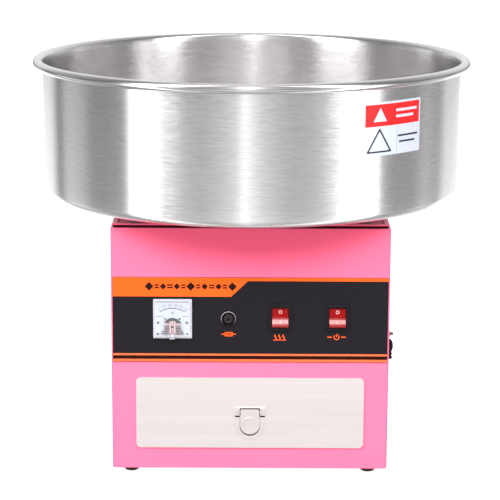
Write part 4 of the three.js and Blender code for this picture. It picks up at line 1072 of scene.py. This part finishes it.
# slot under each ear, through the flange
cup = boolean(cup, [prism("slot", rect(min(s * 11.0, s * 17.3), max(s * 11.0, s * 17.3), 71.25, 73.5, 0.2, 2), "Y", PF - 3.0, DYF + 1.0) for s in (-1, 1)])
ax_lo, ax_hi = cad("pull_flap")
AX_Y, AX_Z = -163.6, 76.8
bores = []
for s in (-1, 1):
    a, b = sorted((s * 10, s * 15))
    bores.append(prism("bore", circle(AX_Y, AX_Z, 1.15, 24), "X", a, b))
cup = boolean(cup, bores)
tidy(cup)
pull_steel = metal("pull steel", (0.87, 0.795, 0.785), 0.5, streak=(8.0, 1400.0, 1400.0), var=0.04, bump=0.1, sr=0.05)
place(cup, pull_steel, nodes="pull_base", smooth=32)

fl0, fl1 = -164.2, -162.9
flap = prism("flap", tongue(11.4, CUT_ZC + 1.4, 80.7, 1.6, 40), "Y", fl0, fl1)
flap = boolean(flap, [box("side", min(s * 10.7, s * 12.5), max(s * 10.7, s * 12.5), fl0 - 1, fl1 + 1, 73.4, 90) for s in (-1, 1)])
bev(flap, 0.35, 3, 50)
rod = [lathe("rod", fillet([(0, -10.5), (1.3, -10.5), (1.3, 10.5), (0, 10.5)], [0, 0.2, 0.2, 0], 3), 32, (0, AX_Y + 0.8, AX_Z), "X"), lathe("pin", fillet([(0, -14.4), (0.6, -14.4), (0.6, 14.4), (0, 14.4)], [0, 0.2, 0.2, 0], 3), 24, (0, AX_Y + 0.3, AX_Z), "X")]
flap = boolean(flap, rod, "UNION")
# raised disc, dished in the middle, at the thumb end
disc = lathe("disc", fillet([(0, fl0 + 0.4), (0, fl0 - 0.2), (6.0, fl0 - 0.35), (9.3, fl0 - 0.75), (10.2, fl0 - 0.65), (10.5, fl0 + 0.4)], [0, 0, 2, 0.3, 0.2, 0], 5), 72, (0, 0, CUT_ZC + 0.75), "Y")
flap = boolean(flap, [disc], "UNION")
tidy(flap)
place(flap, pull_steel, nodes="pull_flap", smooth=24)

# ------------------------------------------------------------------ cord gland and earth stud
gx = HW
gl = lathe("gland", [(0, gx - 9), (6.2, gx - 9), (6.2, gx + 0.4), (8.8, gx + 0.4), (8.9, gx + 4.0), (8.5, gx + 6.8), (7.4, gx + 8.7), (5.7, gx + 9.9), (3.4, gx + 10.7), (0, gx + 11.0)], 64, (0, GY, GZ), "X")
spout = lathe("spout", fillet([(0, GZ - 16), (3.3, GZ - 16), (3.3, GZ - 13.8), (2.4, GZ - 13.2), (2.4, GZ - 11.6), (3.1, GZ - 11.0), (3.1, GZ - 9.4), (2.6, GZ - 8.6), (2.6, GZ), (0, GZ)], [0, 0.6, 0.4, 0.3, 0.3, 0.4, 0.4, 0.3, 0, 0], 4), 48, (gx + 6.9, GY, 0), "Z")
gl = boolean(gl, [spout], "UNION")
gl = boolean(gl, [lathe("b0", [(0, gx - 10), (3.2, gx - 10), (3.2, gx + 6.2), (0, gx + 6.2)], 40, (0, GY, GZ), "X"), lathe("b1", [(0, GZ - 17), (1.7, GZ - 17), (1.7, GZ), (0, GZ)], 40, (gx + 6.9, GY, 0), "Z")])
tidy(gl)
place(gl, plastic("gland rubber", (0.005, 0.005, 0.006), 0.6, 350.0, 0.1, 0.1, 0.12), nodes="cord_gland", smooth=32)
parts = [
    lathe("washer", fillet([(2.0, gx + 0.05), (4.2, gx + 0.05), (4.2, gx + 1.1), (2.0, gx + 1.1)], [0, 0.2, 0.3, 0], 3), 40, (0, SY, SZ), "X"),
    bev(lathe("nut", [(0, gx + 1.05), (4.0, gx + 1.05), (4.0, gx + 4.2), (0, gx + 4.2)], 6, (0, SY, SZ), "X"), 0.35, 3, 30),
    bev(lathe("nut2", [(0, gx - 5.5), (4.0, gx - 5.5), (4.0, gx - 1.5), (0, gx - 1.5)], 6, (0, SY, SZ), "X"), 0.35, 3, 30),
]
thread = [(0, gx - 9)]
pitch = 0.8
xx = gx - 9 + 0.3
thread.append((1.7, gx - 9))
while xx < gx + 7.9:
    thread += [(2.1, xx), (1.75, xx + pitch / 2)]
    xx += pitch
thread += [(1.6, gx + 8.2), (0, gx + 8.2)]
parts.append(lathe("thread", thread, 24, (0, SY, SZ), "X"))
place(join("earth_stud_fine", parts), clip_steel, nodes="earth_stud", smooth=30)

# ------------------------------------------------------------------ inside: terminal block, motor, slip rings
refine("terminal_block", cream, 0.35)
caps = []
for i in range(4):
    x = 67 + i * 12.4
    h = lathe("ts", fillet([(0, 138.6), (2.4, 138.6), (2.4, 140.6), (0, 140.6)], [0, 0, 0.4, 0], 3), 24, (x, 32, 0))
    caps.append(boolean(h, [box("sl", x - 2.6, x + 2.6, 31.7, 32.3, 139.9, 141)]))
place(join("terminal_screws", caps), brass, body="base", slot="brass", smooth=40)

can = lathe("motor_can", fillet([(43.4, 165), (46, 165), (46, 242.7), (11.4, 242.7), (11.4, 234.5), (43.4, 234.5)], [0.2, 0.4, 3.0, 0.3, 0.3, 1.5], 5), 96)
place(can, iron, nodes="motor_housing", smooth=30)
refine("motor_stator", copper, 0.5)
refine("motor_end_cap", iron, 0.4)
for n in ("bearing_upper", "bearing_lower"):
    lo, hi = cad(n)
    a, b = lo[2], hi[2]
    prof = fillet([(5.5, a), (7.4, a), (7.4, a + 0.6), (9.0, a + 0.6), (9.0, a), (11, a), (11, b), (9.0, b), (9.0, b - 0.6), (7.4, b - 0.6), (7.4, b), (5.5, b)], [0.3, 0.1, 0, 0, 0.1, 0.5, 0.5, 0.1, 0, 0, 0.1, 0.3], 3)
    place(lathe(n + "_race", prof, 64), turned_steel, nodes=n, smooth=30)
sh_lo, sh_hi = cad("rotor_shaft")
prof = fillet([(0, sh_lo[2]), (5, sh_lo[2]), (5, 338.2), (4, 338.2), (4, sh_hi[2]), (0, sh_hi[2])], [0, 0.8, 0.2, 0.1, 0.6, 0], 4)
place(lathe("spinner_shaft", prof, 48), turned_steel, nodes="rotor_shaft", smooth=30)
place(lathe("rotor_stack", fillet([(5.3, 180), (31, 180), (31, 226), (5.3, 226)], [0.3, 0.6, 0.6, 0.3], 3), 80), rotor_iron, nodes="motor_rotor", smooth=30)
refine("cooling_fan", black_plastic, 0.2)
place(lathe("ring_sleeve", fillet([(5.3, 250), (11.5, 250), (11.5, 284), (5.3, 284)], [0.3, 0.5, 0.5, 0.3], 3), 64), cream, nodes="slip_ring_sleeve", smooth=30)
for n, z in (("slip_ring_lower", 254), ("slip_ring_upper", 270)):
    place(lathe(n + "_turned", fillet([(11.9, z), (15, z), (15, z + 7), (11.9, z + 7)], [0.2, 0.5, 0.5, 0.2], 3), 72), brass, nodes=n, smooth=30)
refine("brush_holder", cream, 0.4)
for n in ("brush_lower", "brush_upper"):
    refine(n, carbon, 0.3)

# ------------------------------------------------------------------ spinner head
HR = cad("head_dish")[1][0]
HR = 78.0
prof = fillet([(5.3, 325), (14, 325), (14, 331), (70, 333), (HR - 2, 335), (HR, 337), (HR, 344), (74.6, 344), (74.6, 338), (69, 336.2), (14, 334.4), (14, 338.6), (5.3, 338.6)],
              [0.3, 0.8, 2.5, 3.0, 1.2, 1.2, 0.5, 0.5, 1.2, 3.0, 1.0, 0.6, 0.3], 5)
dish = lathe("head_dish_turned", prof, 144)
posts = [lathe("post", fillet([(0, 334), (3.2, 334), (3.2, 367.6), (0, 367.6)], [0, 0, 0.3, 0], 3), 24, (56 * math.cos(math.radians(120 * i + 30)), 56 * math.sin(math.radians(120 * i + 30)), 0)) for i in range(3)]
dish = boolean(dish, posts, "UNION")
tidy(dish, 2e-6, 0.05)
place(dish, alu, nodes="head_dish", smooth=32)
nut = lathe("nut", [(4.4, 339.2), (8, 339.2), (8, 346), (4.4, 346)], 6)
bev(nut, 0.4, 3, 30)
washer = lathe("washer", fillet([(4.4, 338.7), (9.4, 338.7), (9.4, 339.5), (4.4, 339.5)], [0, 0.2, 0.2, 0], 2), 48)
place(join("head_nut_fine", [nut, washer]), bright, nodes="head_nut", smooth=30)
# heater: a coil wound round the ring's section
hr_lo, hr_hi = cad("heater_ring")
hz = (hr_lo[2] + hr_hi[2]) / 2
turns, per = 64, 12
wire, R1, ra, rb = 0.62, 65.5, 2.0, 5.3
centre = []
for k in range(turns * per):
    u = 2 * PI * k / per
    v = 2 * PI * k / (turns * per)
    rr = R1 + ra * math.cos(u)
    centre.append(Vector((rr * math.cos(v), rr * math.sin(v), hz + rb * math.sin(u))))
verts, faces = [], []
m6 = 6
N = len(centre)
for k in range(N):
    d = (centre[(k + 1) % N] - centre[k - 1]).normalized()
    v = 2 * PI * k / N
    ref = Vector((-math.sin(v), math.cos(v), 0))
    a = d.cross(ref)
    a = a.normalized() if a.length > 1e-6 else Vector((0, 0, 1))
    b = d.cross(a).normalized()
    for j in range(m6):
        w = 2 * PI * j / m6
        p = centre[k] + (a * math.cos(w) + b * math.sin(w)) * wire
        verts.append(tuple(p))
for k in range(N):
    k2 = (k + 1) % N
    for j in range(m6):
        j2 = (j + 1) % m6
        faces.append([k * m6 + j, k * m6 + j2, k2 * m6 + j2, k2 * m6 + j])
coil = make("heater_coil", verts, faces)
place(coil, hot_iron, nodes="heater_ring", smooth=60, weighted=False)
band_r0, band_r1 = 72.7, 73.9
bandm = lathe("head_band_sheet", fillet([(band_r0, 338.6), (band_r1, 338.6), (band_r1, 367.6), (band_r0, 367.6)], 0.25, 2), 160)
slots = []
for i in range(16):
    a = math.radians(22.5 * i + 11.25)
    s = prism("sl", rect(-2.5, 2.5, 346.5, 364.5, 2.4, 5), "Y", 66, 80)
    s.data.transform(Matrix.Rotation(a - PI / 2, 4, "Z"))
    slots.append(s)
bandm = boolean(bandm, [join("slots", slots)])
tidy(bandm, 1e-6, 0.05)
place(bandm, turned_steel, nodes="head_band", smooth=30)
prof = fillet([(21, 355), (22.2, 355), (24, 367.9), (HR - 3, 367.9), (HR - 1.6, 363.5), (HR, 363.5), (HR, 368.5), (HR - 2.5, 371), (31, 374.5), (28, 374.5), (22.6, 369)],
              [0.3, 0.3, 1.5, 1.0, 0.5, 0.4, 1.6, 3.0, 2.0, 2.0, 3.0], 5)
place(lathe("head_cover_turned", prof, 144), alu, nodes="head_cover", smooth=32)
cs = []
for i in range(3):
    a = math.radians(120 * i + 30)
    x, y = 56 * math.cos(a), 56 * math.sin(a)
    h = lathe("cs", [(0, 371.8), (3.3, 371.8), (3.3, 373.0), (2.9, 373.7), (1.7, 374.15), (0, 374.25)], 28, (x, y, 0))
    cs.append(boolean(h, [box("s0", x - 2, x + 2, y - 0.4, y + 0.4, 373.4, 376), box("s1", x - 0.4, x + 0.4, y - 2, y + 2, 373.4, 376)]))
place(join("head_cover_screws", cs), bright, body="spinner", slot="bright_steel", smooth=40)

# ------------------------------------------------------------------ bowl
b_lo, b_hi = cad("bowl")
BR, BZ0, BTOP = b_hi[0], b_lo[2], b_hi[2]
BEAD = 5.4
RIM_Z = BTOP - BEAD
WALL_R, FOOT_R, CORNER = 248.8, 247.7, 10.1
HOLE, LIP, BT = 92.0, 325.0, 1.2
prof = [(HOLE, BZ0 + 0.4), (HOLE + 0.4, BZ0)]
fr = FOOT_R - CORNER
for i in range(13):
    a = math.radians(-90 + 7.5 * i)
    prof.append((fr + CORNER * math.cos(a), BZ0 + CORNER + CORNER * math.sin(a)))
for i in range(1, 12):
    z = BZ0 + CORNER + (RIM_Z - 6.4 - BZ0 - CORNER) * i / 12
    prof.append((FOOT_R + (WALL_R - FOOT_R) * (z - BZ0) / (RIM_Z - BZ0), z))
bc = BR - BEAD
prof += [(WALL_R - 0.05, RIM_Z - 6.4), (WALL_R, RIM_Z - 3.0), (WALL_R + 1.2, RIM_Z + 0.8), (WALL_R - 0.4, RIM_Z + 0.8), (WALL_R - 1.0, RIM_Z - 2.2), (WALL_R - BT, RIM_Z - 5.0)]
rolled = [(WALL_R - 0.5, RIM_Z - 5.9), (WALL_R + 0.12, RIM_Z - 5.75), (WALL_R + 0.6, RIM_Z - 5.0), (WALL_R + 1.5, RIM_Z - 4.75)]
for i in range(0, 46):
    a = math.radians(-112 + 5.34 * i)
    rolled.append((bc + BEAD * math.cos(a), RIM_Z + BEAD * math.sin(a)))
rolled += [(WALL_R + 1.0, RIM_Z + 3.0), (WALL_R - 0.4, RIM_Z + 0.82), (WALL_R - 0.3, RIM_Z - 0.4), (WALL_R - 0.5, RIM_Z - 2.2)]
for i in range(11, 0, -1):
    z = BZ0 + CORNER + (RIM_Z - 6.4 - BZ0 - CORNER) * i / 12
    prof.append((FOOT_R - BT + (WALL_R - FOOT_R) * (z - BZ0) / (RIM_Z - BZ0), z))
for i in range(12, -1, -1):
    a = math.radians(-90 + 7.5 * i)
    r = CORNER - BT
    prof.append((fr + r * math.cos(a), BZ0 + CORNER + r * math.sin(a)))
for k in range(1, 7):
    prof.append((fr + (HOLE + 5 - fr) * k / 7, BZ0 + BT))
for i in range(7):
    a = math.radians(-90 - 15 * i)
    prof.append((HOLE + BT + 3.0 + 3.0 * math.cos(a), BZ0 + BT + 3.0 + 3.0 * math.sin(a)))
prof += [(HOLE + BT, LIP - 0.5), (HOLE + BT - 0.35, LIP), (HOLE + 0.35, LIP), (HOLE, LIP - 0.5)]
bowl = lathe("bowl_shell", prof, 256)
place(bowl, bowl_steel, nodes="bowl", smooth=34, weighted=False)
bead = lathe("bowl_bead", rolled, 256)
place(bead, bead_steel, body="bowl", slot=SLOT_OF["bowl"], smooth=40, weighted=False)

# sticker: flat film bent onto the wall; plain shapes where the photographed one has a notice
SA0, SA1, SZ0, SZ1 = math.radians(29.7), math.radians(49.3), 385.4, 445.1
SMID, SR = (SA0 + SA1) / 2, 248.8
SW = (SA1 - SA0) * SR / 2


def wall_r(z):
    return FOOT_R + (WALL_R - FOOT_R) * (z - BZ0) / (RIM_Z - BZ0)


def wrap(ob, step=3.0):
    """Bend a flat piece (x along the wall, y = -height above it) round the bowl wall."""
    bm = bmesh.new()
    bm.from_mesh(ob.data)
    k = -SW
    while k < SW:
        geom = bm.verts[:] + bm.edges[:] + bm.faces[:]
        bmesh.ops.bisect_plane(bm, geom=geom, plane_co=(k * MM, 0, 0), plane_no=(1, 0, 0), dist=1e-9)
        k += step
    for v in bm.verts:
        u, off, z = v.co.x / MM, -v.co.y / MM, v.co.z / MM
        a = SMID + u / SR
        r = wall_r(z) + off
        v.co = Vector((r * math.sin(a), -r * math.cos(a), z)) * MM
    bmesh.ops.recalc_face_normals(bm, faces=bm.faces)
    bm.to_mesh(ob.data)
    bm.free()
    return ob


def sticker(name, outlines, mat, y0, y1, nodes=(), cuts=()):
    obs = [prism("s", o, "Y", y0, y1) for o in outlines]
    ob = join(name, obs) if len(obs) > 1 else obs[0]
    ob.name = name
    if cuts:
        ob = boolean(ob, [prism("c", o, "Y", y0 - 1, y1 + 1) for o in cuts])
    wrap(ob)
    return place(ob, mat, body="bowl", nodes=nodes, slot="sticker", weighted=False)


sticker("sticker_film", [rect(-SW, SW, SZ0, SZ1, 0.8, 3)], label_white, -0.45, -0.02, nodes="bowl_sticker")
redz = 418.3
sticker("sticker_red_field", [rect(-SW + 1.6, SW - 2.2, redz, SZ1 - 2.4, 0.3, 2)], label_red, -0.55, -0.40)
tri = [(-SW + 12.5, redz + 5.2), (-SW + 31.0, redz + 5.2), (-SW + 21.8, redz + 20.6)]
sticker("sticker_white_shapes", [fillet(tri, 0.5, 3), rect(2.0, 36.0, redz + 14.8, redz + 17.8, 1.2, 4), rect(2.0, 30.0, redz + 8.0, redz + 11.0, 1.2, 4)], label_white, -0.62, -0.50)
big = [(-SW + 3.4, SZ0 + 3.6), (-SW + 39.0, SZ0 + 3.6), (-SW + 21.2, SZ0 + 31.2)]
cxm = sum(p[0] for p in big) / 3
czm = sum(p[1] for p in big) / 3
small = [(cxm + (x - cxm) * 0.80, czm + (z - czm) * 0.80) for x, z in big]
sticker("sticker_outline", [fillet(big, 0.8, 3)], label_ink, -0.55, -0.40, cuts=[fillet(small, 0.5, 3)])
lines = [rect(5.5, 38.5, SZ0 + 19.3, SZ0 + 21.3, 0.8, 3), rect(7.5, 33.5, SZ0 + 12.6, SZ0 + 14.6, 0.8, 3)]
sticker("sticker_bars", lines, label_ink, -0.55, -0.40)
sticker("sticker_divider", [rect(4.0, 4.35, SZ0 + 1.2, redz - 0.5)], dial_faint, -0.52, -0.40)

# ------------------------------------------------------------------ floor, lights, surroundings
floor = make("floor", [(-20000, -20000, 0), (20000, -20000, 0), (20000, 20000, 0), (-20000, 20000, 0)], [[0, 1, 2, 3]])
fm, nt, b = new_mat("pale floor")
out = next(n for n in nt.nodes if n.type == "OUTPUT_MATERIAL")
b.inputs["Base Color"].default_value = (0.82, 0.82, 0.82, 1)
b.inputs["Roughness"].default_value = 0.9
b.inputs["Specular IOR Level"].default_value = 0.1
b.inputs["Emission Color"].default_value = (1, 1, 1, 1)
b.inputs["Emission Strength"].default_value = 0.85
floor.data.materials.append(fm)
floor.visible_glossy = False
floor.visible_diffuse = False
floor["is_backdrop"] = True

world = bpy.data.worlds.new("studio")
scene.world = world
world.use_nodes = True
wt = world.node_tree
wt.nodes.clear()
wo = wt.nodes.new("ShaderNodeOutputWorld")
bg = wt.nodes.new("ShaderNodeBackground")
wt.links.new(bg.outputs[0], wo.inputs["Surface"])
tc = node(wt, "ShaderNodeTexCoord")
sep = node(wt, "ShaderNodeSeparateXYZ")
wt.links.new(tc.outputs["Generated"], sep.inputs[0])
neg = node(wt, "ShaderNodeMath", operation="MULTIPLY")
neg.inputs[1].default_value = -1.0
wt.links.new(sep.outputs["Y"], neg.inputs[0])
at2 = node(wt, "ShaderNodeMath", operation="ARCTAN2")
wt.links.new(sep.outputs["X"], at2.inputs[0])
wt.links.new(neg.outputs[0], at2.inputs[1])
turn01 = node(wt, "ShaderNodeMapRange")
turn01.inputs["From Min"].default_value = -PI
turn01.inputs["From Max"].default_value = PI
wt.links.new(at2.outputs[0], turn01.inputs["Value"])
# brightness round the studio, by bearing: 0 faces the camera side, right is positive
BEARINGS = [
    (-180, 1.2), (-145, 1.2), (-139, 0.95), (-132, 0.30), (-128, 0.36), (-122, 0.76), (-113, 0.72), (-103, 0.56), (-97, 0.36), (-80, 0.40), (-71, 0.48),
    (-66, 3.4), (-56, 3.4), (-52, 0.56), (-26, 0.58), (-12, 0.80), (-5.5, 0.95), (-3.6, 1.9), (-1.7, 1.0), (8, 0.80), (22, 0.58), (40, 0.62),
    (50, 0.68), (55, 3.4), (69.5, 3.4), (75, 0.62), (84, 0.42), (100, 0.40), (110, 0.64), (125, 0.46), (134, 1.0), (180, 1.2),
]
# the same studio higher up, above the height of the eye
UPPER = [
    (-180, 1.2), (-145, 1.1), (-125, 0.60), (-100, 0.46), (-88, 0.26), (-72, 0.24), (-65, 0.40),
    (-58, 7.2), (-42.5, 7.2), (-38.5, 0.45), (-24, 0.54), (-12, 0.86), (-5, 1.3), (-2.5, 5.4), (0, 5.4), (2.5, 1.3), (10, 0.82), (22, 0.56), (33, 0.52),
    (39.5, 0.60), (44, 7.2), (54, 7.2), (58, 0.26), (80, 0.24), (92, 0.40), (110, 0.62), (130, 0.80), (145, 1.1), (180, 1.2),
]


def around(stops):
    r = node(wt, "ShaderNodeValToRGB")
    el = r.color_ramp.elements
    while len(el) < len(stops):
        el.new(0.5)
    for e_, (deg, v) in zip(el, stops):
        e_.position = (deg + 180) / 360
        e_.color = (v / 8, v / 8, v / 8, 1)
    wt.links.new(turn01.outputs["Result"], r.inputs["Fac"])
    return r


ramp, ramp_up = around(BEARINGS), around(UPPER)
above = node(wt, "ShaderNodeMapRange")
above.inputs["From Min"].default_value = 0.06
above.inputs["From Max"].default_value = 0.12
wt.links.new(sep.outputs["Z"], above.inputs["Value"])
either = node(wt, "ShaderNodeMix", data_type="FLOAT")
wt.links.new(above.outputs["Result"], either.inputs["Factor"])
wt.links.new(ramp.outputs["Color"], either.inputs["A"])
wt.links.new(ramp_up.outputs["Color"], either.inputs["B"])
# height: a darker line just below eye level, a lit ceiling and a lit table
hgt = node(wt, "ShaderNodeMapRange")
hgt.inputs["From Min"].default_value = -1.0
hgt.inputs["From Max"].default_value = 1.0
wt.links.new(sep.outputs["Z"], hgt.inputs["Value"])
HEIGHTS = [(-1.0, 0.8), (-0.55, 1.0), (-0.38, 1.45), (-0.28, 1.45), (-0.22, 1.05), (-0.13, 0.92), (-0.11, 0.30), (-0.01, 0.30), (0.05, 0.80), (0.22, 0.90), (0.45, 0.92), (1.0, 0.75)]
ramp2 = node(wt, "ShaderNodeValToRGB")
el = ramp2.color_ramp.elements
while len(el) < len(HEIGHTS):
    el.new(0.5)
for e_, (h, v) in zip(el, HEIGHTS):
    e_.position = (h + 1) / 2
    e_.color = (v / 2, v / 2, v / 2, 1)
wt.links.new(hgt.outputs["Result"], ramp2.inputs["Fac"])
mul = node(wt, "ShaderNodeMath", operation="MULTIPLY")
wt.links.new(either.outputs["Result"], mul.inputs[0])
wt.links.new(ramp2.outputs["Color"], mul.inputs[1])
gain = node(wt, "ShaderNodeMath", operation="MULTIPLY")
gain.inputs[1].default_value = 16.0
wt.links.new(mul.outputs[0], gain.inputs[0])
lp = node(wt, "ShaderNodeLightPath")
pick = node(wt, "ShaderNodeMix", data_type="FLOAT")
wt.links.new(lp.outputs["Is Camera Ray"], pick.inputs["Factor"])
soft = node(wt, "ShaderNodeMix", data_type="FLOAT")
wt.links.new(lp.outputs["Is Diffuse Ray"], soft.inputs["Factor"])
wt.links.new(gain.outputs[0], soft.inputs["A"])
sky = node(wt, "ShaderNodeMapRange")
sky.inputs["From Min"].default_value = -0.3
sky.inputs["From Max"].default_value = 0.3
sky.inputs["To Min"].default_value = 0.50
sky.inputs["To Max"].default_value = 0.24
wt.links.new(sep.outputs["Z"], sky.inputs["Value"])
wt.links.new(sky.outputs["Result"], soft.inputs["B"])
wt.links.new(soft.outputs["Result"], pick.inputs["A"])
pick.inputs["B"].default_value = 1.0
wt.links.new(pick.outputs["Result"], bg.inputs["Strength"])
hue = node(wt, "ShaderNodeMix", data_type="RGBA")
wt.links.new(lp.outputs["Is Diffuse Ray"], hue.inputs["Factor"])
hue.inputs[6].default_value = (1, 1, 1, 1)
hue.inputs[7].default_value = (2.1, 0.95, 1.12, 1)
wt.links.new(hue.outputs[2], bg.inputs["Color"])


def area(name, loc, aim, size, power, glossy=False):
    d = bpy.data.lights.new(name, "AREA")
    d.shape = "RECTANGLE"
    d.size, d.size_y = size
    d.energy = power
    o = bpy.data.objects.new(name, d)
    scene.collection.objects.link(o)
    o.location = loc
    o.rotation_mode = "QUATERNION"
    o.rotation_quaternion = (Vector(aim) - Vector(loc)).to_track_quat("-Z", "Y")
    o.visible_glossy = glossy
    return o


area("front softbox", (-0.2, -2.3, 2.0), (0, 0, 0.25), (1.6, 1.0), 60)
strip = area("overhead strip", (-0.15, -2.04, 2.27), (0, -0.16, 0.19), (1.0, 0.8), 30, glossy=True)
strip.visible_diffuse = False
# flagged off the bowl, which only shows the studio round it
flagged = bpy.data.collections.new("lit by the strip")
for o in scene.objects:
    if o.type == "MESH" and "bowl" not in o.name:
        flagged.objects.link(o)
strip.light_linking.receiver_collection = flagged
area("left softbox", (-1.9, -1.7, 1.9), (0, 0, 0.25), (1.4, 1.2), 46)
area("right softbox", (1.9, -1.7, 1.9), (0, 0, 0.25), (1.4, 1.2), 38)

# ------------------------------------------------------------------ sizes
lo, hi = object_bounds()
